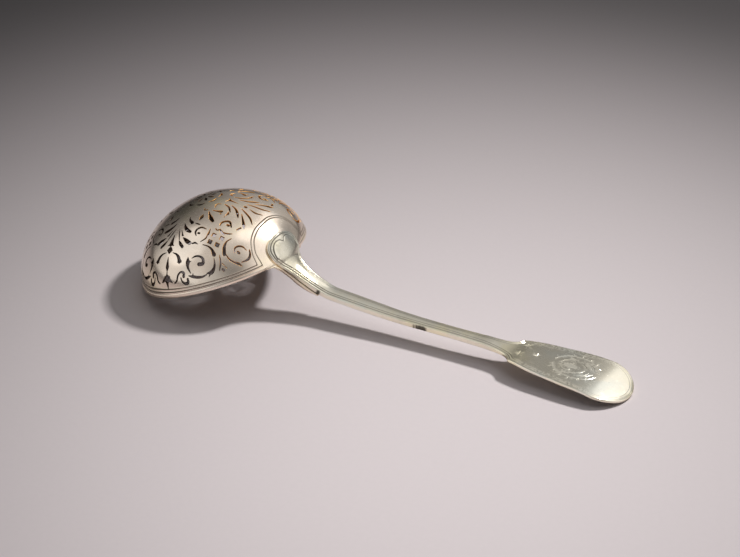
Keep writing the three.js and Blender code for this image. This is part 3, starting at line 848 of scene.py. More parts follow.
class HandleForm:
    """The bent path of the handle, its outline in plan and its thickness."""

    neck_shares = (
        (0.02, 0.06), (0.057, 0.15), (0.113, 0.245), (0.175, 0.33), (0.27, 0.44), (0.38, 0.56),
        (0.49, 0.66), (0.6, 0.755), (0.72, 0.845), (0.85, 0.93), (1.0, 1.0))
    stem_shares = (
        (0.053, 0.14), (0.105, 0.24), (0.156, 0.34), (0.22, 0.46), (0.3, 0.61), (0.39, 0.74),
        (0.48, 0.82), (0.6, 0.88), (0.77, 0.95), (0.9, 1.0))
    drop_outline_shares = (
        (0.0, 0.0), (0.01, 0.2), (0.04, 0.42), (0.12, 0.66), (0.26, 0.87), (0.42, 0.98),
        (0.56, 1.0), (0.75, 0.97), (0.9, 0.9), (1.0, 0.82))
    neck_outline_shares = (
        (0.08, 0.48), (0.16, 0.32), (0.26, 0.2), (0.38, 0.1), (0.53, 0.05), (0.73, 0.02),
        (1.0, 0.0))
    stem_width_shares = (
        (0.2, 0.85), (0.43, 0.3), (0.65, 0.0), (0.8, 0.3), (0.88, 0.75), (0.94, 1.6), (0.97, 2.6),
        (0.99, 4.0))
    shoulder_shares = (
        (0.16, 0.28), (0.28, 0.46), (0.41, 0.58), (0.53, 0.68), (0.65, 0.78), (0.8, 0.87),
        (1.0, 0.96))
    drop_steps = 5
    end_steps = 12
    fineness = 0.2
    outline_spacing = 0.5

    def __init__(self, bowl: BowlForm, sizes: HandleSizes) -> None:
        """Run the path and draw the outline.

        Args:
            bowl: The form of the bowl.
            sizes: The handle's own sizes.
        """
        self.bowl = bowl
        self.sizes = sizes
        self.path = self.run_path()
        steps = np.linalg.norm(np.diff(self.path, axis=0), axis=1)
        self.along = np.concatenate([[0.0], np.cumsum(steps)])
        self.length = float(self.along[-1])
        self.tangent = unit(np.gradient(self.path, axis=0))
        mouth = bowl.local(np.ones(1), np.zeros(1), np.array([bowl.sizes.solder_gap]))
        self.rim = self.length_at(float(bowl.to_rest(mouth)[0, 0]))
        self.root = self.length_at(sizes.stem_start + bowl.shift)
        self.shoulder = self.length_at(sizes.stem_end + bowl.shift)
        self.outline = self.draw_outline()

    def run_path(self) -> np.ndarray:
        """Run the underside of the handle's middle from the top of the drop to the end.

        Returns:
            Rows of x and z.
        """
        bowl, sizes = self.bowl, self.sizes
        shift = bowl.shift
        heights = sizes.drop_height * (1.0 - np.arange(self.drop_steps + 1) / self.drop_steps)
        shares = np.array([bowl.share_at_height(h) for h in heights])
        shares[-1] = 1.0
        gap = np.full(len(shares), bowl.sizes.solder_gap)
        drop = bowl.to_rest(bowl.local(shares, np.zeros(len(shares)), gap))
        knots = [row[[0, 2]] for row in drop]
        back = knots[-1]
        for forward, down in self.neck_shares:
            knots.append(back + [forward * sizes.neck_reach, -down * sizes.neck_drop])
        root = knots[-1]
        stem_end = np.array([sizes.stem_end + shift, sizes.stem_underside])
        for forward, down in self.stem_shares:
            knots.append(root + (stem_end - root) * [forward, down])
        flat_start = np.array([sizes.flat_start + shift, sizes.flat_underside])
        flat_end = np.array([sizes.flat_end + shift, sizes.bend_underside])
        knots.append(flat_start)
        slope = (flat_end[1] - flat_start[1]) / (flat_end[0] - flat_start[0])
        reach = sizes.bend_control - sizes.flat_end
        control = flat_end + [reach, slope * reach]
        tip = np.array([bowl.sizes.handle_end + shift, 0.0])
        bend_share = np.linspace(0.0, 1.0, 100)[:, None]
        bend = (1 - bend_share) ** 2 * flat_end + 2 * bend_share * (1 - bend_share) * control
        bend = bend + bend_share ** 2 * tip
        flat = spline([flat_start, flat_end], self.fineness)
        return np.vstack([spline(knots, self.fineness)[:-1], flat[:-1], bend])

    def length_at(self, x: float) -> float:
        """Length along the path at which it reaches x."""
        return float(np.interp(x, self.path[:, 0], self.along))

    def draw_outline(self) -> np.ndarray:
        """Draw half the outline, from the drop to the end.

        Returns:
            Rows of length along the path and half width.
        """
        sizes = self.sizes
        drop, root, waist = sizes.drop_half_width, sizes.root_half_width, sizes.waist_half_width
        shoulder, end = sizes.shoulder_half_width, sizes.end_half_width
        round_start = self.length - end
        stem_part = (
            stretch(self.drop_outline_shares, (0.0, self.rim), (0.0, drop))
            + stretch(self.neck_outline_shares, (self.rim, self.root), (root, drop))
            + stretch(self.stem_width_shares, (self.root, self.shoulder), (waist, root)))
        end_part = [(self.shoulder, shoulder)]
        end_part += stretch(self.shoulder_shares, (self.shoulder, round_start), (shoulder, end))
        for i in range(1, self.end_steps + 1):
            angle = i * math.pi / 2 / self.end_steps
            end_part.append((round_start + end * math.sin(angle), end * math.cos(angle)))
        return np.vstack([spline(part, self.outline_spacing) for part in (stem_part, end_part)])

    def half_width(self, length: np.ndarray) -> np.ndarray:
        """Half width of the handle at lengths along the path."""
        return np.interp(length, self.outline[:, 0], self.outline[:, 1])

    def centre(self, length: np.ndarray) -> np.ndarray:
        """Middle line of the handle, straight from beside the bowl's middle to the end."""
        start, end = self.bowl.sizes.handle_set, self.bowl.sizes.end_set
        return -(start + length / self.length * (end - start))

    def ease(self, length: np.ndarray, drop: float, stem: float, end: float) -> np.ndarray:
        """Ease from a value at the drop's top to the stem's and the flat end's.

        Args:
            length: Lengths along the path.
            drop: Value at the drop's top.
            stem: Value on the stem.
            end: Value on the flat end.

        Returns:
            A value for each length.
        """
        reach = self.sizes.end_half_width
        fade = smooth_step((length - self.shoulder + reach) / reach)
        return drop + (stem - drop) * smooth_step(length / self.root) + fade * (end - stem)

    def edge(self, length: np.ndarray) -> np.ndarray:
        """Thickness at the edges."""
        return self.ease(length, self.sizes.drop_edge, self.sizes.stem_edge, self.sizes.end_edge)

    def crown(self, length: np.ndarray) -> np.ndarray:
        """Rise of the middle over the edges."""
        return self.ease(length, self.sizes.drop_crown, self.sizes.stem_crown, self.sizes.end_crown)

    def bend_radius(self, length: np.ndarray) -> np.ndarray:
        """Distance of the path from the bowl's axis, which the drop is bent round.

        Args:
            length: Lengths along the path.

        Returns:
            A distance for each length.
        """
        sizes = self.bowl.sizes
        cos, sin = math.cos(sizes.rest_tilt), math.sin(sizes.rest_tilt)
        capped = np.minimum(length, self.rim)
        x = np.interp(capped, self.along, self.path[:, 0]) - self.bowl.shift
        z = np.interp(capped, self.along, self.path[:, 1])
        level = x * cos + z * sin - sizes.mouth_radius
        height = z * cos - x * sin
        return level - sizes.apex_shift * height / sizes.bowl_height

    def place(self, plan: np.ndarray, height: np.ndarray) -> np.ndarray:
        """Place plan points, as length and distance across, at heights over the underside.

        Args:
            plan: Rows of length and distance across.
            height: Heights over the underside.

        Returns:
            The points.
        """
        length, across = plan[:, 0], self.centre(plan[:, 0]) + plan[:, 1]
        x, z = (np.interp(length, self.along, self.path[:, i]) for i in (0, 1))
        tangent = unit(np.stack(
            [np.interp(length, self.along, self.tangent[:, i]) for i in (0, 1)], axis=1))
        beyond = np.maximum(length - self.length, 0.0) + np.minimum(length, 0.0)
        x, z = x + tangent[:, 0] * beyond, z + tangent[:, 1] * beyond
        sizes = self.bowl.sizes
        cos, sin = math.cos(sizes.rest_tilt), math.sin(sizes.rest_tilt)
        radius = self.bend_radius(length)
        rounded = 1.0 - smooth_step((length - self.rim) / (self.root - self.rim))
        bend = rounded * np.arcsin(across / radius)
        sag = rounded * (radius - np.sqrt(radius ** 2 - across ** 2))
        outward_x, outward_z = -tangent[:, 1], tangent[:, 0]
        level = outward_x * cos + outward_z * sin
        upright = outward_z * cos - outward_x * sin
        local_x = level * np.cos(bend) * height - sag
        y = across + level * np.sin(bend) * height
        local_z = upright * height
        return np.stack(
            [x + local_x * cos - local_z * sin, y, z + local_x * sin + local_z * cos], axis=1)


def strokes_in(table: Sequence[Table], way: Field, caps: int) -> list[np.ndarray]:
    """Outlines of strokes laid over the pattern in one way.

    Args:
        table: Strokes, each with rows of u, v and half width.
        way: Moves rows of u and v to where this copy goes.
        caps: Points round each end, none for square ends.

    Returns:
        One closed outline for each stroke.
    """
    outlines = []
    for stroke in table:
        line = spline(stroke, STROKE_SPACING)
        line[:, 2] = np.maximum(line[:, 2], THINNEST_STROKE)
        line[:, :2] = way(line[:, :2])
        outlines.append(stroke_outline(line, caps))
    return outlines


@dataclass(frozen=True)
class BowlPattern:
    """Sawn scrollwork of the bowl, in hundredths of the meridian, u toward the handle.

    One quarter is drawn, and the others are the same quarter turned or mirrored. A stroke is rows
    of u, v and half width, a shape is a plain outline.
    """

    bellflower: Sequence[Table] = (
        ((-1.4, 48, 0.4), (-1.4, 53, 1.5), (-1.4, 56.2, 2.4)),
        ((-0.9, 67.5, 0.3), (-0.6, 73, 1.5), (-0.3, 76, 2.1), (-0.2, 78.3, 1)),
        ((-0.2, 79.4, 0.6), (-0.2, 82, 1), (-0.1, 83.5, 3.9), (0, 86, 4.3), (0, 88.3, 2),
         (0.2, 92.2, 0.5)),
    )
    bellflower_shapes: Sequence[Table] = (
        ((-1.2, 58.2), (0.8, 59.5), (2.5, 61.8), (1.0, 63.5), (-0.9, 65.3), (-2.9, 63.5),
         (-4.7, 61.8), (-3.1, 59.5)),
        ((-2.6, 54.6), (-4.0, 56.4), (-5.8, 57.9), (-3.6, 57.9), (-1.3, 56.9), (0.8, 57.9),
         (2.8, 58.0), (1.1, 56.4), (-0.2, 54.6)),
        ((-3.0, 84.2), (-5.8, 85.6), (-8.3, 88.3), (-5.6, 88.2), (-3.6, 87.7), (-2.3, 87.0),
         (-1.0, 86.0)),
        ((3.0, 84.2), (5.4, 85.7), (7.6, 88.4), (5.4, 88.2), (3.5, 87.7), (2.3, 87.0), (1.0, 86.0)),
    )
    scroll: Sequence[Table] = (
        ((3.2, 63.7, 0.3), (8, 65, 0.9), (11.3, 67.5, 1.6), (13.1, 70.6, 1.9)),
        ((9.7, 88.3, 0.5), (12.3, 86.6, 0.9), (13.7, 81.8, 1), (16.5, 78.9, 0.9), (20, 79.2, 1.3),
         (20.2, 81.8, 1.6)),
        ((17.2, 83.6, 0.7), (18.9, 86.1, 0.9), (22.4, 87, 1.1), (25.7, 85.6, 1.4), (25, 83.4, 1.3)),
        ((21.4, 66, 0.4), (22.2, 69.6, 2.1), (23.3, 73.6, 1.4), (27.4, 78, 0.4)),
        ((22.6, 69.4, 1.4), (25.4, 68.6, 0.3)),
        ((25.3, 66, 0.3), (28.2, 63.7, 0.8), (32.4, 62.6, 0.9), (36.2, 63.8, 1.3),
         (37.3, 67.2, 1.6), (33.6, 69, 1.6)),
        ((25.7, 80.5, 0.4), (30, 80.2, 1.2), (35.2, 79.4, 1.2), (40, 77.6, 0.9), (43.6, 74.6, 0.5)),
        ((30.2, 79.8, 1), (29.8, 77.6, 0.3)),
        ((45.7, 59.3, 0.3), (47.9, 63, 0.9), (48.8, 66.8, 1.3), (47.7, 71, 1.8), (43.6, 73.6, 0.5)),
        ((47, 72, 1), (46.2, 75.7, 0.3)),
        ((31.3, 52.4, 0.4), (36.6, 52.2, 0.7), (40.6, 53.4, 1.2), (44.6, 56.6, 2)),
    )
    scroll_shapes: Sequence[Table] = (
        ((11.2, 69.6), (10.6, 71.9), (12.2, 71.6), (13.5, 72.8), (14.4, 71.3), (15.9, 71.1),
         (15.1, 69.0)),
    )
    leaf: Sequence[Table] = (
        ((3.8, 36.5, 0.4), (6.2, 39.7, 1.2), (9.6, 42.4, 1.7), (14, 44, 1.3)),
        ((9.3, 50, 0.4), (12, 51.4, 1.3), (15, 52.9, 1.9), (18.2, 54, 1.7)),
        ((6.5, 53.4, 0.6), (8.6, 55.6, 1.4), (12.2, 58.2, 1.4)),
        ((1.6, 42.5, 0.3), (3.4, 47, 0.7), (6, 52.3, 0.5)),
        ((5.5, 29.8, 0.5), (7.2, 32.5, 1), (11.2, 35.2, 1.6)),
        ((16.4, 25, 0.4), (16.6, 27.7, 1.8), (16.4, 30.6, 1)),
        ((21.5, 46.5, 0.4), (19.2, 43.4, 1), (19.6, 40.4, 1), (22.6, 37.9, 0.9), (27.6, 38.2, 0.4)),
        ((22.2, 43.7, 1), (23.4, 43.7, 1)),
        ((19.6, 53.8, 0.3), (21.5, 53.7, 0.7), (23, 52.8, 0.9), (26.5, 53.2, 0.3)),
        ((4.5, 43.5, 0.3), (6.3, 46, 0.6), (7.8, 48, 0.9), (9, 48.3, 0.3)),
        ((14.5, 35, 0.4), (17, 35.3, 0.7), (19.5, 35.7, 0.5)),
        ((13, 17.5, 0.4), (14.5, 19.7, 0.7), (17, 18.6, 0.5)),
    )
    handle_scroll: Sequence[Table] = (
        ((60.4, 46.4, 0.5), (58.9, 42.6, 0.8), (60.4, 39.6, 0.9), (64, 37.5, 0.8),
         (68.3, 37.8, 0.4)),
        ((70.3, 35.6, 0.6), (73, 38.8, 1.1), (73.6, 43, 1.2), (69.8, 49.6, 0.4)),
        ((54.8, 51.8, 0.5), (58.5, 53.6, 0.8), (64, 53.5, 0.9), (68.3, 52.2, 1.2),
         (71.8, 51.8, 0.4)),
        ((52, 37, 0.4), (49.8, 41.6, 0.8), (50.1, 46.4, 1.5), (52.9, 52.2, 1.8)),
        ((49.5, 55, 0.4), (52.9, 60.4, 0.9), (54.4, 66.4, 0.6)),
        ((43, 35.4, 0.4), (46.6, 35, 0.9), (50.3, 32.8, 0.4)),
        ((37, 31, 0.4), (36.7, 27.6, 1), (38.8, 24.8, 1), (42.2, 23.4, 1.1), (46.3, 27.4, 0.7)),
        ((19.4, 20.4, 0.4), (22.4, 23.9, 1.1), (25.5, 26.8, 1.9), (28.6, 29, 1.5)),
        ((21.6, 17.9, 0.4), (25, 17.8, 0.8), (29.5, 16.7, 1.6)),
        ((41.5, 4.3, 0.4), (46, 6, 0.8), (54, 9.4, 1), (58.8, 13.8, 0.5)),
        ((45.5, 10, 0.4), (51, 16, 1.1), (54, 19.6, 1.4), (55.8, 22.2, 0.6)),
        ((32.5, 5.5, 0.4), (38.5, 8.2, 1), (43, 12.5, 1.2), (45.4, 15.4, 0.5)),
        ((26.3, 7, 0.4), (31.5, 8.8, 1), (36.2, 13.6, 0.6)),
        ((62.8, 44.1, 1.3), (64, 44.1, 1.3)),
        ((42.4, 27.3, 1.2), (43.6, 27.3, 1.2)),
        ((54.5, 60, 0.4), (59.8, 61.5, 0.6)),
        ((56.9, 64.5, 1.3), (58.1, 64.5, 1.3)),
        ((53.3, 23.5, 0.9), (52, 26.8, 1)),
        ((34.8, 14.3, 0.3), (36, 16.5, 1.2), (35.3, 19.2, 0.4)),
        ((35.2, 20.8, 0.5), (35.2, 21.3, 0.5)),
        ((23.3, 8.2, 0.5), (20.5, 9.2, 0.7), (20.3, 11.5, 0.7), (21.3, 14, 0.5)),
        ((30, 19.3, 0.7), (30.6, 19.3, 0.7)),
    )
    diagonal: Sequence[Table] = (
        ((31, 37, 0.4), (31.6, 41.6, 1), (31.4, 46, 0.8), (28, 50.6, 0.4)),
        ((38.8, 33.7, 0.4), (41.2, 35.6, 1.3), (44.4, 37, 0.8)),
        ((35.3, 35, 0.6), (37, 35.8, 0.6), (39, 34.3, 0.7)),
    )
    lattice: Sequence[Table] = (
        ((34.8, 41.1, 1.9), (38.8, 41.1, 1.9)),
        ((42.6, 40.9, 2), (46.8, 40.9, 2)),
        ((34.2, 47.9, 2), (38.4, 47.9, 2)),
        ((41.3, 47.9, 2), (45.7, 47.9, 2)),
    )
    handle_axis: Sequence[Table] = (
        ((42.1, 0, 1.4), (42.9, 0, 1.4)),
        ((46.8, 0, 0.4), (53, 0.2, 1), (58, -2.8, 0.5)),
    )
    handle_axis_shapes: Sequence[Table] = (
        ((23.3, -3.7), (25.8, -1.9), (28, -0.9), (31, -0.6), (36.5, 0), (31, 0.8), (27.5, 1),
         (25.8, 2.0), (23.7, 3.2), (25.3, 0)),
    )
    petal: Table = ((3.6, 0, 0.5), (7.4, 0, 1.4), (9.8, 0, 0.4))
    crescent: Table = ((13.4, -3.6, 0.4), (14.8, 0, 1.1), (13.4, 3.6, 0.4))
    petals: int = 8
    front_axis: float = -0.7

    def outlines(self) -> list[np.ndarray]:
        """Closed outlines of everything that is sawn out of the bowl.

        Returns:
            The outlines, in hundredths of the meridian.
        """
        axis = 2 * self.front_axis
        near, far = (lambda p: p), (lambda p: p * [1, -1])
        near_front, far_front = (
            (lambda p: p * [-1, 1] + [axis, 0]), (lambda p: p * [-1, -1] + [axis, 0]))
        near_turned, far_turned = (
            (lambda p: p[:, ::-1] * [-1, 1]), (lambda p: p[:, ::-1] * [-1, -1]))
        sides = (near, far)
        quarters = (near, far, near_front, far_front)
        eighths = quarters + (near_turned, far_turned)
        plan = (
            (self.bellflower, self.bellflower_shapes, (near, far, near_turned), 4),
            (self.scroll, self.scroll_shapes, eighths, 4),
            (self.leaf, (), eighths, 4),
            (self.diagonal, (), quarters, 4),
            (self.lattice, (), quarters, 0),
            (self.handle_scroll, (), sides, 4),
            (self.handle_axis, self.handle_axis_shapes, (near,), 4),
        )
        found = []
        for strokes, shapes, ways, caps in plan:
            for way in ways:
                found += strokes_in(strokes, way, caps)
                found += [way(np.asarray(shape, float)) for shape in shapes]
        for i in range(self.petals):
            turn = 2 * math.pi * i / self.petals
            found += strokes_in((self.petal,), spin(turn), 4)
            found += strokes_in((self.crescent,), spin(turn + math.pi / self.petals), 4)
        return found


def spin(angle: float) -> Field:
    """A way of laying a stroke that turns it round the middle of the pattern."""
    matrix = np.array([[math.cos(angle), math.sin(angle)], [-math.sin(angle), math.cos(angle)]])
    return lambda points: points @ matrix


@dataclass
class Bowl:
    """The pierced bowl, its lip and the tongue that it leaves under the neck."""

    form: BowlForm
    handle: HandleForm
    pattern: BowlPattern = field(default_factory=BowlPattern)
    edge_height: float = 1.95
    line_places: tuple[float, float] = (92.4, 94.5)
    line_half_width: float = 0.66
    line_slope: float = 0.24
    gap_ease: float = math.radians(1.0)
    reserve_near: Table = (
        (82, 40.3), (75.2, 37.1), (70.5, 32.5), (66.8, 27.5), (64.1, 20.2), (62.9, 14))
    reserve_top: Table = ((62.4, 3), (62.2, -4.6))
    reserve_far: Table = ((63.8, -13.6), (66.8, -20.2), (73.3, -27.3), (80, -31.9), (86, -35.5))
    inner_near: Table = (
        (86.4, 36.6), (76.7, 33.9), (72.6, 30.4), (68.5, 24.9), (66.5, 18.7), (65.4, 13.3))
    inner_top: Table = ((64.8, 3), (64.4, -4.6))
    inner_far: Table = ((66.1, -13.2), (69, -19.2), (75.1, -25.8), (81.7, -29.9), (88.8, -34.3))
    tongue_thickness: float = 1.9
    tongue_length: float = 18.5
    tongue_proud: float = 0.25
    tongue_root: float = 6.0
    tongue_inset: float = 0.1
    tongue_round: float = 0.35
    tongue_root_shares: Table = ((-1, 0.8, 0), (-0.45, 0.95, 0), (-0.2, 1, 0.5))
    tongue_shares: Table = (
        (0, 1, 0.95), (0.016, 0.55, 1), (0.043, 0.32, 1), (0.07, 0.17, 0.95), (0.11, 0.07, 0.9),
        (0.16, 0.02, 0.84), (0.26, 0, 0.76), (0.38, 0, 0.8), (0.5, 0, 0.95), (0.62, 0, 0.93),
        (0.74, 0, 0.78), (0.85, 0, 0.58), (0.93, 0, 0.38), (1, 0, 0.16))
    lip_rows: int = 280
    lip_points: int = 28
    lip_roundness: float = 2.8
    lip_thinnest: float = 0.08
    lip_taper: int = 7
    lip_overlap: float = math.radians(6.0)
    lip_inside: tuple[int, int] = (8, 20)

    @property
    def gap(self) -> tuple[float, float]:
        """The opening that the tongue leaves in the lip.

        Returns:
            Its middle azimuth and half its angle.
        """
        sizes = self.form.sizes
        middle = -math.asin(sizes.handle_set / sizes.mouth_radius)
        half = math.asin((sizes.tongue_half_width + 2 * sizes.solder_gap) / sizes.mouth_radius)
        return middle, half

    def edge_outline(self) -> np.ndarray:
        """Outline of the dome: the lip's top, or the mouth's edge where the tongue leaves it.

        Returns:
            The outline in hundredths of the meridian.
        """
        share = self.form.share_at_height(self.edge_height) * HUNDREDTHS
        middle, half = self.gap
        azimuth = np.linspace(0.0, 2 * math.pi, 481)[:-1]
        away = azimuth_between(azimuth, middle)
        open_share = smooth_step((half + self.gap_ease / 2 - away) / self.gap_ease)
        radius = share + (HUNDREDTHS - 0.3 - share) * open_share
        return (circle(-(azimuth + self.form.sizes.pattern_turn)) * radius[:, None])[::-1]

    def lines(self) -> list[Cut]:
        """The chased double line round the rim and the plain space about the drop.

        Returns:
            The cuts.
        """
        cuts = []
        routes = (
            (self.reserve_near + self.reserve_top + self.reserve_far, self.line_places[0]),
            (self.inner_near + self.inner_top + self.inner_far, self.line_places[1]))
        for route, place in routes:
            corners = [math.atan2(end[1], end[0]) for end in (route[0], route[-1])]
            ends = [[place * math.cos(a), place * math.sin(a)] for a in corners]
            curve = spline([ends[0], *route[1:-1], ends[1]], 0.9)
            turns = np.linspace(corners[0], corners[1] + 2 * math.pi, 400)
            for line in (curve, place * circle(turns)):
                width = np.full(len(line), self.line_half_width)
                cuts.append(Cut(np.column_stack([line, width]), self.line_slope))
        return cuts

    def build_shell(
        self, silver: bpy.types.Material, gilt: bpy.types.Material, inside_gilt: bpy.types.Material,
    ) -> bpy.types.Object:
        """The pierced dome.

        Args:
            silver: Finish outside.
            gilt: Finish in the holes.
            inside_gilt: Finish inside.

        Returns:
            The object.
        """
        sheet = Sheet(self.edge_outline(), self.pattern.outlines(), self.lines(), 2.2)
        # The rings nearer the lower skin take more of the tarnish mask, so the holes' walls are
        # darker towards the inside.
        wall = (
            WallRing(0.1, 1.0, -0.04), WallRing(0.15, 1.0, -0.12), WallRing(0.15, 1.0, -0.17, 0.1),
            WallRing(0.15, 0.0, 0.12, 0.4), WallRing(0.08, 0.0, 0.02, 0.4))
        thickness = self.form.sizes.wall
        body = lay_sheet(
            sheet, self.form.place, lambda p: np.zeros(len(p)),
            lambda p: np.full(len(p), -thickness), wall, nudge=0.4, slots=(1, 2))
        return body.build("bowl_dome", (silver, gilt, inside_gilt))

    def build_lip(
        self, silver: bpy.types.Material, inside_gilt: bpy.types.Material,
    ) -> bpy.types.Object:
        """The rounded wire round the mouth, whose thinned ends lie on the tongue.

        Args:
            silver: Finish outside.
            inside_gilt: Finish inside.

        Returns:
            The object.
        """
        sizes = self.form.sizes
        middle, half = self.gap
        half -= self.lip_overlap
        centre = np.array([
            sizes.mouth_radius - (sizes.lip_width - sizes.lip_proud) / 2, sizes.lip_height / 2])
        reach = np.array([(sizes.lip_width + sizes.lip_proud) / 2, sizes.lip_height / 2])
        shape = circle(np.linspace(0.0, 2 * math.pi, self.lip_points + 1)[:-1])
        shape = np.sign(shape) * np.abs(shape) ** (2 / self.lip_roundness)
        rows = []
        for i in range(self.lip_rows + 1):
            azimuth = middle + half + 2 * (math.pi - half) * i / self.lip_rows
            ends = min(i, self.lip_rows - i) / self.lip_taper
            scale = math.sqrt(max(self.lip_thinnest, 1 - (1 - min(ends, 1.0)) ** 2))
            section = centre + shape * reach * scale
            for axis, wear in enumerate((sizes.worn_in, sizes.sagging)):
                section[:, axis] -= wear.at(np.array([azimuth]), np.zeros(1))
            out, up = section.T
            rows.append(self.form.to_rest(
                np.stack([out * math.cos(azimuth), out * math.sin(azimuth), up], axis=1)))
        return grid_body(rows, self.lip_inside).build("lip_wire_bead", (silver, inside_gilt))

    def build_tongue(self, silver: bpy.types.Material) -> bpy.types.Object:
        """The tapering plate that carries the neck of the handle.

        Args:
            silver: Its finish.

        Returns:
            The object.
        """
        sizes, handle = self.form.sizes, self.handle
        mouth_width = float(handle.half_width(np.array([handle.rim]))[0])
        root_thickness = sizes.wall - self.tongue_inset
        knots = []
        for along, share, thick in self.tongue_root_shares:
            wide = share * sizes.tongue_half_width
            thickness = root_thickness + thick * (self.tongue_thickness - root_thickness)
            knots.append((along * self.tongue_root, wide, -self.tongue_inset, thickness))
        for along, flare, thick in self.tongue_shares:
            reach = along * self.tongue_length
            slim = float(handle.half_width(np.array([handle.rim + reach]))[0]) + self.tongue_proud
            wide = slim + flare * (sizes.tongue_half_width - mouth_width - self.tongue_proud)
            knots.append((reach, wide, 0.0, thick * self.tongue_thickness))
        rows = []
        for reach, wide, top, thickness in spline(knots, 0.5):
            section = rounded_section(wide, thickness, self.tongue_round)
            plan = np.stack([np.full(len(section), handle.rim + reach), section[:, 0]], axis=1)
            rows.append(handle.place(plan, top - sizes.solder_gap - thickness / 2 + section[:, 1]))
        return grid_body(rows).build("bowl_tongue", (silver,))


def edge_distance(points: np.ndarray, outline: np.ndarray) -> np.ndarray:
    """Distance of each point from a closed outline.

    Args:
        points: Points to measure from.
        outline: The closed outline.

    Returns:
        A distance for each point.
    """
    start, step = outline, np.roll(outline, -1, axis=0) - outline
    length = (step ** 2).sum(axis=1) + TINY
    away = np.empty(len(points))
    for chunk in np.array_split(np.arange(len(points)), max(1, len(points) // CHUNK)):
        offset = points[chunk][:, None, :] - start[None]
        share = np.clip((offset * step[None]).sum(axis=2) / length, 0.0, 1.0)
        beside = offset - share[:, :, None] * step[None]
        away[chunk] = np.sqrt((beside ** 2).sum(axis=2).min(axis=1))
    return away


def inset(outline: np.ndarray, distance: float) -> np.ndarray:
    """A closed outline drawn a distance inside another that runs anticlockwise.

    Args:
        outline: The outer outline.
        distance: How far inside.

    Returns:
        The inner outline.
    """
    before, after = np.roll(outline, 1, axis=0), np.roll(outline, -1, axis=0)
    moved = outline + left_of(after - before) * distance
    return moved[edge_distance(moved, outline) > distance * 0.985]


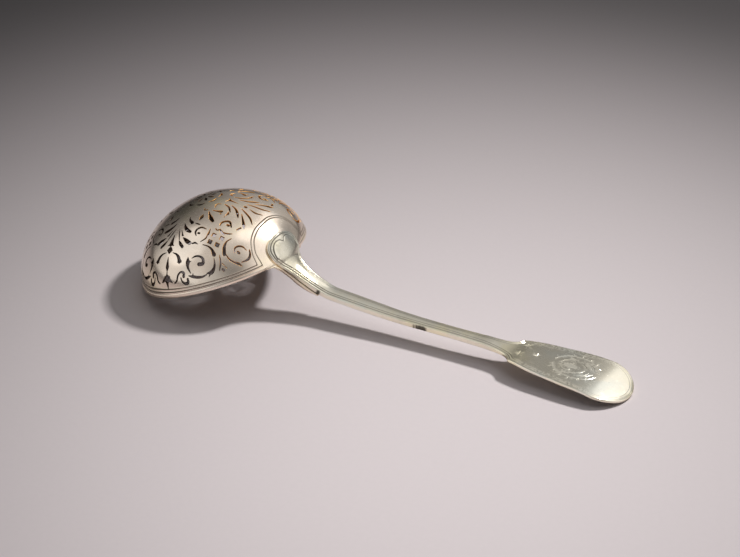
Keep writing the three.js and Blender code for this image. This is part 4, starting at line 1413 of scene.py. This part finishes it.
@dataclass
class Handle:
    """The handle in one piece: the drop on the bowl, the swan neck, the stem and its flat end."""

    form: HandleForm
    round_out: tuple[float, float] = (0.28, 0.4)
    round_down: tuple[float, float] = (0.1, 0.38)
    thread_places: tuple[float, float] = (0.95, 1.85)
    thread_half_width: float = 0.31
    thread_slope: float = 0.5
    thread_widths: Table = (
        (0, 1), (30, 1), (45, 0.7), (100, 0.62), (128, 0.9), (136, 0.8), (142, 0.3), (160, 0.25),
        (170, 0.55), (176, 0.8), (200, 0.8))
    near_thread_share: float = 0.55
    near_thread_end: tuple[float, float] = (14.0, 5.0)
    far_thread_extra: float = 0.5
    thread_eases: tuple[float, float] = (8.0, 6.0)
    heart: Table = (
        (3.5, 0), (3.1, 0.45), (2.5, 1.2), (2.25, 2.4), (2.7, 4.0), (4.0, 5.3), (5.9, 6.0),
        (8.1, 5.95))
    star_places: Table = ((162.1, -1.8), (162.9, 4.45), (168.3, 0.15))
    star_reach: float = 1.5
    star_half_width: float = 0.46
    star_tip: float = 0.04
    star_slope: float = 0.34
    # The stars are painted pale: clean metal and painted highlight.
    star_bare_and_painted_highlight: float = -0.5
    star_rays: int = 3
    ornament_place: tuple[float, float] = (183.2, 0.35)
    ornament_half: tuple[float, float] = (8.7, 6.9)
    ornament_leaves: int = 7
    ornament_leaf_tips: Table = ((0.05, 1.25), (-1.85, 1.05))
    ornament_leaf_widths: tuple[float, float, float] = (0.05, 0.24, 0.04)
    ornament_leaf_arc: tuple[float, float] = (28.0, 124.0)
    ornament_ring_gap: float = 12.0
    ornament_ring_points: int = 40
    ornament_slope: float = 0.22
    # Pale strokes: clean metal and painted highlight; dark strokes: tarnish and painted shadow.
    ornament_bare_and_painted_highlight: float = -0.8
    ornament_tarnish_and_painted_shadow: float = 0.85
    ornament_strokes: Sequence[Table] = (
        ((-6.2, 0.5, 0.06), (-5.2, 2.3, 0.2), (-3.4, 3.4, 0.26), (-1.6, 2.9, 0.2),
         (-1.5, 1.6, 0.12), (-2.6, 1.4, 0.05)),
        ((-5.6, 0.25, 0.05), (-3.4, 0.9, 0.2), (-0.6, 0.95, 0.26), (1.5, 0.35, 0.05)),
        ((-0.9, 4.4, 0.05), (0.9, 3.6, 0.22), (2.9, 2.3, 0.26), (3.6, 0.4, 0.06)),
        ((1.2, 4.9, 0.05), (3.2, 4.1, 0.22), (5.0, 2.6, 0.24), (5.4, 0.8, 0.06)),
        ((3.4, 4.6, 0.05), (5.6, 3.2, 0.2), (6.7, 1.2, 0.06)),
        ((-4.0, 4.8, 0.05), (-2.4, 5.0, 0.2), (-0.6, 4.4, 0.05)),
    )
    stains: Table = ((-22.6, 1.2), (17.8, 0.9), (19.0, 1.1), (20.2, 1.3), (21.4, 1.3), (22.4, 1.0))
    stain_height: float = 0.9
    # Dullness of the drop, and of the flat end, which is painted dark reflection as well as tarnish
    # and ends in a leaning painted reflection edge at the bend.
    drop_dull: float = 0.3
    flat_dull_and_painted_reflection: float = 0.57
    drop_dull_end: tuple[float, float] = (9.0, 7.0)
    flat_painted_reflection_start: tuple[float, float] = (4.0, 7.0)
    flat_painted_reflection_edge: tuple[float, float] = (13.3, 3.5)
    painted_reflection_edge_lean: float = 0.17
    crown_ease: float = 4.0
    crown_least: float = 0.9
    seam: float = 0.03
    spacing: float = 1.0

    def plan_outline(self) -> np.ndarray:
        """Whole outline of the handle in plan, anticlockwise.

        Returns:
            Rows of length and distance across.
        """
        half = self.form.outline
        near = half[1:-1][::-1] * [1, -1]
        return np.vstack([half, near])[::-1]

    def top(self, plan: np.ndarray) -> np.ndarray:
        """Height of the top over the underside's middle.

        Args:
            plan: Plan points.

        Returns:
            A height for each point.
        """
        length = np.clip(plan[:, 0], 0.0, self.form.length)
        here = self.form.half_width(length)
        ahead = np.maximum(here, self.form.half_width(length + self.crown_ease))
        wide = np.maximum(np.where(length < self.form.root, here, ahead), self.crown_least)
        rise = 1.0 - np.minimum(np.abs(plan[:, 1]) / wide, 1.0) ** 2
        return self.form.edge(length) + self.form.crown(length) * rise

    def bottom(self, plan: np.ndarray) -> np.ndarray:
        """Height of the underside, which closes on the bowl under the drop."""
        gap = self.form.bowl.sizes.solder_gap - self.seam
        return -gap * (1.0 - smooth_step((plan[:, 0] - self.form.rim + 1.0) / 2.0))

    def cuts(self, outline: np.ndarray) -> list[Cut]:
        """Threads along the edges and the heart on the drop.

        Args:
            outline: Outline of the handle in plan.

        Returns:
            The cuts.
        """
        outer, inner = (inset(outline, place) for place in self.thread_places)
        outer = np.roll(outer, -int(np.argmin(outer[:, 0])), axis=0)
        inner = np.roll(inner, -int(np.argmin(inner[:, 0])), axis=0)
        inner = inner[inner[:, 0] >= self.heart[-1][0]]
        lines = (np.vstack([outer, outer[:1]]), inner)
        found = [self.groove(line, self.thread_half_width, self.thread_slope) for line in lines]
        for side in (1, -1):
            lobe = spline([(length, side * across) for length, across in self.heart], 0.25)
            found.append(self.groove(lobe, self.thread_half_width, self.thread_slope))
        return found

    def groove(self, line: np.ndarray, half_width: float, slope: float) -> Cut:
        """A groove along a line, made thinner by wear on the stem and beside the flat end.

        Args:
            line: Rows of length and distance across.
            half_width: Half width where it is whole.
            slope: Depth for each unit of half width.

        Returns:
            The cut.
        """
        knots = np.array(self.thread_widths)
        share = np.interp(line[:, 0], knots[:, 0], knots[:, 1])
        stem_ease, end_ease = self.thread_eases
        before, ease = self.near_thread_end
        past = smooth_step((line[:, 0] - self.form.shoulder) / end_ease)
        worn_and_painted_shade = past * (line[:, 1] < 0)
        worn_and_painted_shade = worn_and_painted_shade * (1.0 - smooth_step((line[:, 0] - self.form.length + before) / ease))
        share = share * (1.0 - self.near_thread_share * worn_and_painted_shade)
        stem = smooth_step((line[:, 0] - self.form.root) / stem_ease) * (line[:, 1] > 0)
        share = share * (1.0 + self.far_thread_extra * stem * (1.0 - past))
        return Cut(np.column_stack([line[:, :2], half_width * share]), slope)

    def ornament(self) -> list[Cut]:
        """A bright-cut oval wreath of leaves round a plain scroll of foliage. The wreath's strokes
        are pale, clean metal with painted highlight; the scroll's are in turn dark, tarnish with
        painted shadow, and pale.

        Returns:
            The cuts.
        """
        across = self.ornament_place[1]
        length = self.form.length_at(self.ornament_place[0] + self.form.bowl.shift)
        found = []
        gap, count = self.ornament_ring_gap, self.ornament_ring_points
        first, arc = self.ornament_leaf_arc
        for side in (1, -1):
            ring = circle(np.radians(np.linspace(gap, 180.0 - gap, count))) * [1, side]
            width = 0.14 + 0.08 * np.sin(np.linspace(0.0, math.pi, count))
            strokes = [np.column_stack([ring * self.ornament_half, width])]
            for i in range(self.ornament_leaves):
                turn = math.radians(first + arc * i / (self.ornament_leaves - 1))
                root = np.array([math.cos(turn), side * math.sin(turn)]) * self.ornament_half
                for lean, reach in self.ornament_leaf_tips:
                    toward = np.array([math.cos(turn + lean), side * math.sin(turn + lean)])
                    tip = root + reach * toward
                    leaf = np.stack([root, (root + tip) / 2, tip])
                    strokes.append(np.column_stack([leaf, self.ornament_leaf_widths]))
            shown = [self.ornament_bare_and_painted_highlight] * len(strokes)
            for i, stroke in enumerate(self.ornament_strokes):
                strokes.append(spline(stroke, 0.4) * [1, side, 1])
                shown.append(self.ornament_bare_and_painted_highlight if i % 2 else self.ornament_tarnish_and_painted_shadow)
            for line, tarnish in zip(strokes, shown):
                found.append(Cut(line + [length, across, 0.0], self.ornament_slope, tarnish))
        return found

    def stars(self) -> list[Cut]:
        """Three small stars struck into the flat end, as crossing tapered cuts.

        Returns:
            The cuts.
        """
        found = []
        for x, across in self.star_places:
            length = self.form.length_at(x + self.form.bowl.shift)
            for i in range(self.star_rays):
                angle = math.pi * (i / self.star_rays + 0.5)
                reach = np.array([math.cos(angle), math.sin(angle)]) * self.star_reach
                middle = np.array([length, across])
                width = [self.star_tip, self.star_half_width, self.star_tip]
                line = np.column_stack([[middle - reach, middle, middle + reach], width])
                found.append(Cut(line, self.star_slope, self.star_bare_and_painted_highlight))
        return found

    def dull_and_painted_reflection(self, plan: np.ndarray) -> np.ndarray:
        """Dullness of the top: on the drop, and on the flat end up to its bend, where it is painted
        dark reflection as well as tarnish, ending in a leaning painted reflection edge.

        Args:
            plan: Plan points.

        Returns:
            A share of dullness for each point.
        """
        length = plan[:, 0]
        start, ease = self.drop_dull_end
        drop = 1.0 - smooth_step((length - start) / ease)
        before, ease = self.flat_painted_reflection_start
        flat = smooth_step((length - self.form.shoulder + before) / ease)
        before, ease = self.flat_painted_reflection_edge
        leaning = length - self.painted_reflection_edge_lean * plan[:, 1]
        flat = flat * (1.0 - smooth_step((leaning - self.form.length + before) / ease))
        return self.drop_dull * drop + self.flat_dull_and_painted_reflection * flat

    def build(self, silver: bpy.types.Material) -> bpy.types.Object:
        """The whole handle as one closed body.

        Args:
            silver: Its finish.

        Returns:
            The object.
        """
        outline = self.plan_outline()
        cuts = self.cuts(outline) + self.stars() + self.ornament()
        sheet = Sheet(inset(outline, self.round_out[1]), [], cuts, self.spacing)
        far, near = self.round_out
        drop, low = self.round_down
        wall = (
            WallRing(far, 1.0, -drop), WallRing(near, 1.0, -low), WallRing(near, 1.0, -low - 0.07),
            WallRing(near, 0.0, low * 0.8), WallRing(near, 0.0, low * 0.6),
            WallRing(far, 0.0, drop * 0.6))
        body = lay_sheet(
            sheet, self.form.place, self.top, self.bottom, wall, nudge=0.05, slots=(0, 0),
            dull_and_painted_reflection=self.dull_and_painted_reflection)
        for x, reach in self.stains:
            length = np.array([self.form.length_at(x)])
            plan = np.column_stack([length, -self.form.half_width(length)])
            body.stain(self.form.place(plan, np.array([self.stain_height]))[0], reach)
        return body.build("handle_stem", (silver,))


def new_object(name: str, data: bpy.types.ID) -> bpy.types.Object:
    """Make an object of its data and put it in the scene.

    Args:
        name: Name of the object.
        data: Its mesh, lamp or camera.

    Returns:
        The object.
    """
    made = bpy.data.objects.new(name, data)
    bpy.context.scene.collection.objects.link(made)
    return made


class Shade(Enum):
    """Colours of the finishes, as linear red, green and blue."""

    SILVER = (0.94, 0.795, 0.655)
    COOL_SILVER = (0.92, 0.855, 0.71)
    PALE_GILT = (0.95, 0.85, 0.55)
    BLUED = (0.74, 0.81, 0.79)
    DULL = (0.12, 0.085, 0.055)
    PATINA = (0.11, 0.10, 0.078)
    GOLD = (0.82, 0.47, 0.17)
    SAWN = (0.86, 0.49, 0.17)
    # Painted shade that the gilt fades to in the holes and inside, away from the handle.
    SAWN_PAINTED_SHADE = (0.10, 0.075, 0.06)
    # Dark brown of the gilt finishes: soot, and painted shade in the holes and inside.
    SOOT_AND_PAINTED_SHADE = (0.10, 0.06, 0.035)
    FLOOR = (0.775, 0.705, 0.72)
    # Painted falloff of light: the floor's colour far from the painted pool.
    FLOOR_PAINTED_FALLOFF = (0.045, 0.041, 0.042)

    @property
    def rgba(self) -> tuple[float, float, float, float]:
        """The colour with full alpha."""
        return self.dimmed(1.0)

    def dimmed(self, share: float) -> tuple[float, float, float, float]:
        """A share of the colour, with full alpha."""
        red, green, blue = self.value
        return (red * share, green * share, blue * share, 1.0)


class NodeTree:
    """A short way to put nodes in a tree and link them."""

    def __init__(self, tree: bpy.types.NodeTree) -> None:
        """Take over a tree."""
        self.tree = tree

    def add(self, kind: str, settings: dict | None = None, **inputs: object) -> bpy.types.Node:
        """Add a node.

        Args:
            kind: The node's type name.
            settings: Attributes to set on the node.
            inputs: Values or sockets for its inputs, by name with underscores for spaces.

        Returns:
            The node.
        """
        node = self.tree.nodes.new(kind)
        for name, value in (settings or {}).items():
            setattr(node, name, value)
        for name, value in inputs.items():
            self.put(node, int(name[1:]) if name[1:].isdigit() else name.replace("_", " "), value)
        return node

    def put(self, node: bpy.types.Node, key: str | int, value: object) -> None:
        """Link a socket to a node's input, or set the input to a value.

        Args:
            node: The node.
            key: Name or number of its input.
            value: A socket or a plain value.
        """
        if isinstance(value, bpy.types.NodeSocket):
            self.tree.links.new(value, node.inputs[key])
        else:
            node.inputs[key].default_value = value

    def math(
        self, operation: str, first: object, second: object = 0.0, clamp: bool = False,
    ) -> bpy.types.NodeSocket:
        """Add a Math node and return its result."""
        settings = {"operation": operation, "use_clamp": clamp}
        return self.add("ShaderNodeMath", settings, i0=first, i1=second).outputs[0]

    def place(self) -> bpy.types.NodeSocket:
        """Add a Texture Coordinate node and return places in the object's own frame."""
        return self.add("ShaderNodeTexCoord").outputs["Object"]

    def noise(
        self, place: bpy.types.NodeSocket, scale: float, detail: float, rough: float = 0.5,
    ) -> bpy.types.NodeSocket:
        """Add a Noise Texture node and return its value.

        Args:
            place: Where it is read.
            scale: Its scale.
            detail: Its detail.
            rough: Its roughness.

        Returns:
            The value's socket.
        """
        node = self.add(
            "ShaderNodeTexNoise", None, Vector=place, Scale=scale, Detail=detail, Roughness=rough)
        return node.outputs["Fac"]

    def dot(self, first: object, second: object) -> bpy.types.NodeSocket:
        """Add a node for the dot product of two vectors and return its value."""
        node = self.add("ShaderNodeVectorMath", {"operation": "DOT_PRODUCT"}, i0=first, i1=second)
        return node.outputs["Value"]

    def ramp(self, value: object, low: float, high: float) -> bpy.types.NodeSocket:
        """Stretch a range of values to run smoothly from 0 to 1.

        Args:
            value: A socket or a plain value.
            low: Value that gives 0.
            high: Value that gives 1.

        Returns:
            The result's socket.
        """
        settings = {"interpolation_type": "SMOOTHSTEP"}
        node = self.add("ShaderNodeMapRange", settings, Value=value, From_Min=low, From_Max=high)
        return node.outputs["Result"]

    def mix(self, share: object, first: object, second: object) -> bpy.types.NodeSocket:
        """Mix two colours.

        Args:
            share: Share of the second colour.
            first: The first colour.
            second: The second colour.

        Returns:
            The result's socket.
        """
        node = self.add("ShaderNodeMix", {"data_type": "RGBA"})
        for index, value in ((0, share), (6, first), (7, second)):
            self.put(node, index, value)
        return node.outputs[2]


def new_material(name: str) -> tuple[bpy.types.Material, NodeTree, bpy.types.Node]:
    """Start a material.

    Args:
        name: Name of the material.

    Returns:
        The material, its tree's helper and its shader.
    """
    material = bpy.data.materials.new(name)
    material.use_nodes = True
    return material, NodeTree(material.node_tree), material.node_tree.nodes["Principled BSDF"]


def new_group(
    name: str, inputs: dict[str, float], outputs: Sequence[str],
) -> tuple[NodeTree, bpy.types.Node, bpy.types.Node]:
    """Start a node group of float sockets.

    Args:
        name: Name of the group.
        inputs: Inputs and their default values.
        outputs: Names of the outputs.

    Returns:
        The tree's helper and its input and output nodes.
    """
    tree = bpy.data.node_groups.new(name, "ShaderNodeTree")
    kind = "NodeSocketFloat"
    for label, value in inputs.items():
        tree.interface.new_socket(label, in_out="INPUT", socket_type=kind).default_value = value
    for label in outputs:
        tree.interface.new_socket(label, in_out="OUTPUT", socket_type=kind)
    nodes = NodeTree(tree)
    return nodes, nodes.add("NodeGroupInput"), nodes.add("NodeGroupOutput")


def hand_polish_group() -> bpy.types.NodeTree:
    """Worn polish: soft clouds, fine scratches in three directions and shallow dents.

    Returns:
        The node group.
    """
    nodes, given, out = new_group(
        "hand_polish", {"Base": 0.2, "Spread": 0.08, "Scratches": 0.1}, ("Roughness", "Height"))
    place = nodes.place()
    clouds = nodes.noise(place, 160.0, 4.0, 0.6)
    lines = None
    for turn, size in ((0.35, 900.0), (1.5, 1300.0), (2.6, 1100.0)):
        mapped = nodes.add(
            "ShaderNodeMapping", None, Vector=place, Rotation=(0.2 * turn, 0.5, turn),
            Scale=(0.03, 1.0, 0.6))
        line = nodes.ramp(nodes.noise(mapped.outputs[0], size * 3, 2.0), 0.66, 0.74)
        lines = line if lines is None else nodes.math("MAXIMUM", lines, line)
    spread = nodes.math("MULTIPLY", nodes.math("SUBTRACT", clouds, 0.5), given.outputs["Spread"])
    rough = nodes.math("ADD", given.outputs["Base"], nodes.math("MULTIPLY", spread, 2.0))
    rough = nodes.math("ADD", rough, nodes.math("MULTIPLY", lines, given.outputs["Scratches"]))
    dents = nodes.noise(place, 260.0, 1.0)
    height = nodes.math("SUBTRACT", dents, nodes.math("MULTIPLY", lines, 0.12))
    nodes.put(out, "Roughness", rough)
    nodes.put(out, "Height", height)
    return nodes.tree


def tarnish_group() -> bpy.types.NodeTree:
    """Tarnish where the mesh's mask marks it, as in cuts, and in clouds and specks, and a thin film
    that is yellow or blue in places; the mask also carries painted shade.

    Returns:
        The node group.
    """
    nodes, given, out = new_group(
        "tarnish", {"Hollow": 0.0, "Clouds": 0.2, "Specks": 0.3}, ("Mask", "Yellowed", "Blued"))
    place = nodes.place()
    clouds, specks = nodes.noise(place, 70.0, 6.0, 0.65), nodes.noise(place, 900.0, 3.0, 0.7)
    cloud = nodes.math("MULTIPLY", nodes.ramp(clouds, 0.45, 0.75), given.outputs["Clouds"])
    speck = nodes.math("MULTIPLY", nodes.ramp(specks, 0.66, 0.76), given.outputs["Specks"])
    mask = nodes.math("ADD", nodes.math("ADD", cloud, speck), given.outputs["Hollow"], True)
    nodes.put(out, "Mask", mask)
    film = nodes.noise(place, 55.0, 3.0, 0.55)
    nodes.put(out, "Yellowed", nodes.ramp(film, 0.5, 0.66))
    nodes.put(out, "Blued", nodes.ramp(film, 0.48, 0.34))
    return nodes.tree


@dataclass(frozen=True)
class MetalFinish:
    """A metal finish with polish wear and tarnish, and on the gilt finishes painted shade.

    Attributes:
        name: Name of the material.
        bright: Colour of the polished metal.
        dark: Colour of what the tarnish mask marks: tarnish in cuts, and painted shade where the
            mask carries it.
        base: Roughness of the polish.
        spread: How much the roughness changes.
        scratches: How rough the scratches are.
        clouds: Strength of the tarnish's clouds.
        specks: Strength of its specks.
        bump: Depth of the dents in metres.
        film: Strength of the yellow film.
        yellow: How much weaker the blue film is.
        worn_and_painted_shade: Painted shade, the dark colour that the gilding fades to away from
            the handle, where the holes and the inside lie in shade.
        fade: Where along the lie, in metres, the painted shade ends and where the gilding is whole.
        lie: Direction from the painted shade to the whole gilding.
        tarnish_rough: Roughness that tarnish adds.
        bare_rough: Roughness that the pale cuts add.
    """

    name: str
    bright: Shade
    dark: Shade
    base: float
    clouds: float
    spread: float = 0.08
    scratches: float = 0.1
    specks: float = 0.3
    bump: float = 0.00002
    film: float = 0.0
    yellow: float = 0.0
    worn_and_painted_shade: Shade | None = None
    fade: tuple[float, float] = (-0.021, -0.014)
    lie: tuple[float, float, float] = (1.0, 0.0, 1.5)
    tarnish_rough: float = 0.25
    bare_rough: float = 0.15

    def build(self, polish: bpy.types.NodeTree, tarnish: bpy.types.NodeTree) -> bpy.types.Material:
        """Make the material from the shared groups.

        Args:
            polish: The group for worn polish.
            tarnish: The group for tarnish.

        Returns:
            The material.
        """
        material, nodes, shader = new_material(self.name)
        nodes.put(shader, "Metallic", 1.0)
        # The mesh's mask: above zero for tarnish and painted shade, below zero for pale cuts.
        marked = nodes.add("ShaderNodeAttribute", {"attribute_name": "hollow"}).outputs["Fac"]
        hollow = nodes.math("MAXIMUM", marked, 0.0)
        # Negative marks paint the metal pale: clean metal, and painted highlight on the ornament
        # and stars.
        bare_and_painted_highlight = nodes.math("MAXIMUM", nodes.math("MULTIPLY", marked, -1.0), 0.0)
        wear = nodes.add(
            "ShaderNodeGroup", {"node_tree": polish}, Base=self.base, Spread=self.spread,
            Scratches=self.scratches)
        stain = nodes.add(
            "ShaderNodeGroup", {"node_tree": tarnish}, Hollow=hollow, Clouds=self.clouds,
            Specks=self.specks)
        yellowed = nodes.math("MULTIPLY", stain.outputs["Yellowed"], self.film)
        blued = nodes.math("MULTIPLY", stain.outputs["Blued"], self.film - self.yellow)
        pale = nodes.math("MAXIMUM", bare_and_painted_highlight, yellowed)
        metal = nodes.mix(pale, self.bright.rgba, Shade.PALE_GILT.rgba)
        metal = nodes.mix(blued, metal, Shade.BLUED.rgba)
        # Painted shade: the gilding darkens along the lie, away from the handle and down the dome.
        if self.worn_and_painted_shade is not None:
            whole = nodes.ramp(nodes.dot(nodes.place(), self.lie), *self.fade)
            metal = nodes.mix(whole, self.worn_and_painted_shade.rgba, metal)
        colour = nodes.mix(stain.outputs["Mask"], metal, self.dark.rgba)
        rough = wear.outputs["Roughness"]
        for mask, extra in ((stain.outputs["Mask"], self.tarnish_rough), (bare_and_painted_highlight, self.bare_rough)):
            rough = nodes.math("ADD", rough, nodes.math("MULTIPLY", mask, extra))
        bump = nodes.add(
            "ShaderNodeBump", None, Height=wear.outputs["Height"], Distance=self.bump, Strength=1.0)
        nodes.put(shader, "Base Color", colour)
        nodes.put(shader, "Roughness", rough)
        nodes.put(shader, "Normal", bump.outputs["Normal"])
        return material


FINISHES = (
    MetalFinish(
        "silver", Shade.SILVER, Shade.DULL, base=0.18, clouds=0.16, spread=0.05, scratches=0.12,
        film=0.45, yellow=0.3),
    MetalFinish(
        "handle_silver", Shade.COOL_SILVER, Shade.PATINA, base=0.13, clouds=0.2, spread=0.05,
        bump=0.000015, film=0.5, yellow=0.15),
    # The gilt finishes fade to painted shade away from the handle.
    MetalFinish("sawn_edge", Shade.SAWN, Shade.SOOT_AND_PAINTED_SHADE, base=0.52, clouds=0.4, worn_and_painted_shade=Shade.SAWN_PAINTED_SHADE),
    MetalFinish("inside_gilt", Shade.GOLD, Shade.SOOT_AND_PAINTED_SHADE, base=0.36, clouds=0.3, worn_and_painted_shade=Shade.SAWN_PAINTED_SHADE),
)


@dataclass(frozen=True)
class SoftBox:
    """An area lamp.

    Attributes:
        name: Name of the lamp.
        place: Where it hangs, in metres.
        size: Width and height.
        watts: Power.
        mirrored: Whether metal shows it, or the cards alone.
        aim: What it points at.
        colour: Colour of its light.
    """

    name: str
    place: tuple[float, float, float]
    size: tuple[float, float]
    watts: float
    mirrored: bool = True
    aim: tuple[float, float, float] = (0.0, 0.0, 0.0)
    colour: tuple[float, float, float] = (1.0, 0.985, 0.97)

    def build(self) -> None:
        """Hang the lamp."""
        lamp = bpy.data.lights.new(self.name, "AREA")
        lamp.shape = "RECTANGLE"
        lamp.size, lamp.size_y = self.size
        lamp.energy = self.watts
        lamp.color = self.colour
        hung = new_object(self.name, lamp)
        hung.location = self.place
        way = Vector(self.aim) - Vector(self.place)
        hung.rotation_euler = way.to_track_quat("-Z", "Y").to_euler()
        hung.visible_glossy = self.mirrored


@dataclass
class Studio:
    """Floor, lamps, surroundings and camera."""

    floor_reach: float = 3.0
    floor_steps: int = 24
    # Painted pool of light on the floor: its middle, turn, shape and reach.
    painted_pool_centre: tuple[float, float, float] = (0.044, -0.109, 0.0)
    painted_pool_turn: tuple[float, float, float] = (0.0, 0.0, math.radians(28.4))
    painted_pool_shape: tuple[float, float, float] = (0.776, 1.0, 1.0)
    painted_pool_reach: float = 0.537
    camera_place: tuple[float, float, float] = (0.2668, -0.5013, 0.3538)
    camera_turn: tuple[float, float, float] = (math.radians(59.57), 0.0, math.radians(28.36))
    focal_pixels: float = 1750.0
    photo_width: int = 740
    sensor: float = 36.0
    lamps: tuple[SoftBox, ...] = (
        SoftBox("key", (0.288, 0.443, 0.664), (0.09, 0.09), 6.3),
        SoftBox("top", (0.21, 0.11, 0.86), (0.8, 0.8), 1.6, mirrored=False),
    )
    wide_cards: Table = (
        (-180, 0, 0.08), (-150, 0, 0.39), (-120, 0, 0.3), (-90, 0, 0.36), (-30, 0, 0.16),
        (0, 0, 0.25), (30, 0, 0.38), (90, 0, 0.25), (-165, 30, 0.13), (-90, 30, 0.15),
        (-15, 30, 0.14), (15, 30, 0.48), (105, 30, 0.16), (-135, 60, 0.31), (-90, 60, 0.14),
        (0, 60, 0.26), (45, 60, 0.2), (90, 60, 0.22), (135, 60, 0.13))
    wide_reach: tuple[float, float] = (0, 46)
    narrow_cards: Table = ((-155, 42, 21, 26, 0.4), (83, 37, 7, 10.5, 0.5), (30, 73, 8, 14, 0.5))
    surround: float = 0.02
    fill: float = 0.12
    backdrop: float = 0.5

    def build_camera(self) -> None:
        """Set the camera where the photograph was taken from."""
        camera = bpy.data.cameras.new("camera")
        camera.sensor_width = self.sensor
        camera.lens = self.focal_pixels * self.sensor / self.photo_width
        camera.clip_start = 0.01
        stand = new_object("camera", camera)
        stand.location = self.camera_place
        stand.rotation_euler = self.camera_turn
        bpy.context.scene.camera = stand

    def build_floor(self) -> None:
        """A pale floor whose colour is a painted pool of light, darkening to near black away from
        its middle.
        """
        steps = np.linspace(-1.0, 1.0, self.floor_steps + 1) * self.floor_reach
        points = [(x, y, 0.0) for y in steps for x in steps]
        across = self.floor_steps + 1
        faces = [
            (j * across + i, j * across + i + 1, (j + 1) * across + i + 1, (j + 1) * across + i)
            for j in range(self.floor_steps) for i in range(self.floor_steps)]
        mesh = bpy.data.meshes.new("floor")
        mesh.from_pydata(points, [], faces)
        floor = new_object("floor", mesh)
        material, nodes, shader = new_material("floor_painted_light_pool")
        nodes.put(shader, "Specular IOR Level", 0.2)
        place = nodes.place()
        pool = nodes.add(
            "ShaderNodeMapping", {"vector_type": "TEXTURE"}, Vector=place,
            Location=self.painted_pool_centre, Rotation=self.painted_pool_turn, Scale=self.painted_pool_shape)
        away = nodes.add("ShaderNodeVectorMath", {"operation": "LENGTH"}, i0=pool.outputs[0])
        # Painted falloff of light: the floor darkens with distance from the pool's middle.
        far = nodes.ramp(away.outputs["Value"], 0.0, self.painted_pool_reach)
        speckle = nodes.ramp(nodes.noise(place, 500.0, 3.0), 0.2, 0.8)
        near = nodes.mix(speckle, Shade.FLOOR.dimmed(0.985), Shade.FLOOR.rgba)
        nodes.put(shader, "Base Color", nodes.mix(far, near, Shade.FLOOR_PAINTED_FALLOFF.rgba))
        nodes.put(shader, "Roughness", 0.7)
        mesh.materials.append(material)

    def build_light(self) -> None:
        """Hang the lamps and light the surroundings."""
        for lamp in self.lamps:
            lamp.build()
        world = bpy.data.worlds.new("room")
        bpy.context.scene.world = world
        world.use_nodes = True
        nodes = NodeTree(world.node_tree)
        direction = nodes.add("ShaderNodeTexCoord").outputs["Generated"]
        bright = self.surround
        wide = [(*aim, *self.wide_reach, brightness) for *aim, brightness in self.wide_cards]
        for *angles, brightness in (*wide, *self.narrow_cards):
            around, above, core, reach = (math.radians(angle) for angle in angles)
            level = math.cos(above)
            aim = (math.cos(around) * level, math.sin(around) * level, math.sin(above))
            share = nodes.ramp(nodes.dot(direction, aim), math.cos(reach), math.cos(core))
            bright = nodes.math("ADD", bright, nodes.math("MULTIPLY", share, brightness))
        level = nodes.mix(1.0, grey(0.0), bright)
        path = nodes.add("ShaderNodeLightPath").outputs
        mirrored = nodes.math("MAXIMUM", path["Is Glossy Ray"], path["Is Transmission Ray"])
        level = nodes.mix(mirrored, grey(self.fill), level)
        level = nodes.mix(path["Is Camera Ray"], level, grey(self.backdrop))
        nodes.put(world.node_tree.nodes["Background"], "Color", level)


def grey(level: float) -> tuple[float, float, float, float]:
    """A neutral colour at that level."""
    return (level, level, level, 1.0)


def dress(piece: bpy.types.Object, node: str) -> None:
    """Let a piece stand for its solid and report it.

    Args:
        piece: The piece.
        node: Name of the solid.
    """
    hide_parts(node)
    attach(piece, BODY)
    LOG.info("%s rides on %s for %s", piece.name, BODY, node)


def main() -> None:
    """Build the spoon and its studio."""
    logging.basicConfig(level=logging.INFO, format="%(name)s: %(message)s")
    scene = bpy.context.scene
    scene.view_settings.view_transform = "Standard"
    studio = Studio()
    studio.build_camera()
    polish, tarnish = hand_polish_group(), tarnish_group()
    silver, cool_silver, gilt, inside_gilt = (finish.build(polish, tarnish) for finish in FINISHES)
    bowl_form = BowlForm(SIZES)
    handle_form = HandleForm(bowl_form, HandleSizes())
    bowl = Bowl(bowl_form, handle_form)
    handle = Handle(handle_form)
    dress(bowl.build_shell(silver, gilt, inside_gilt), "bowl_shell")
    dress(bowl.build_tongue(silver), "bowl_shell")
    dress(bowl.build_lip(silver, inside_gilt), "lip_wire")
    dress(handle.build(cool_silver), "handle")
    studio.build_floor()
    studio.build_light()


if __name__ == "__main__":
    main()
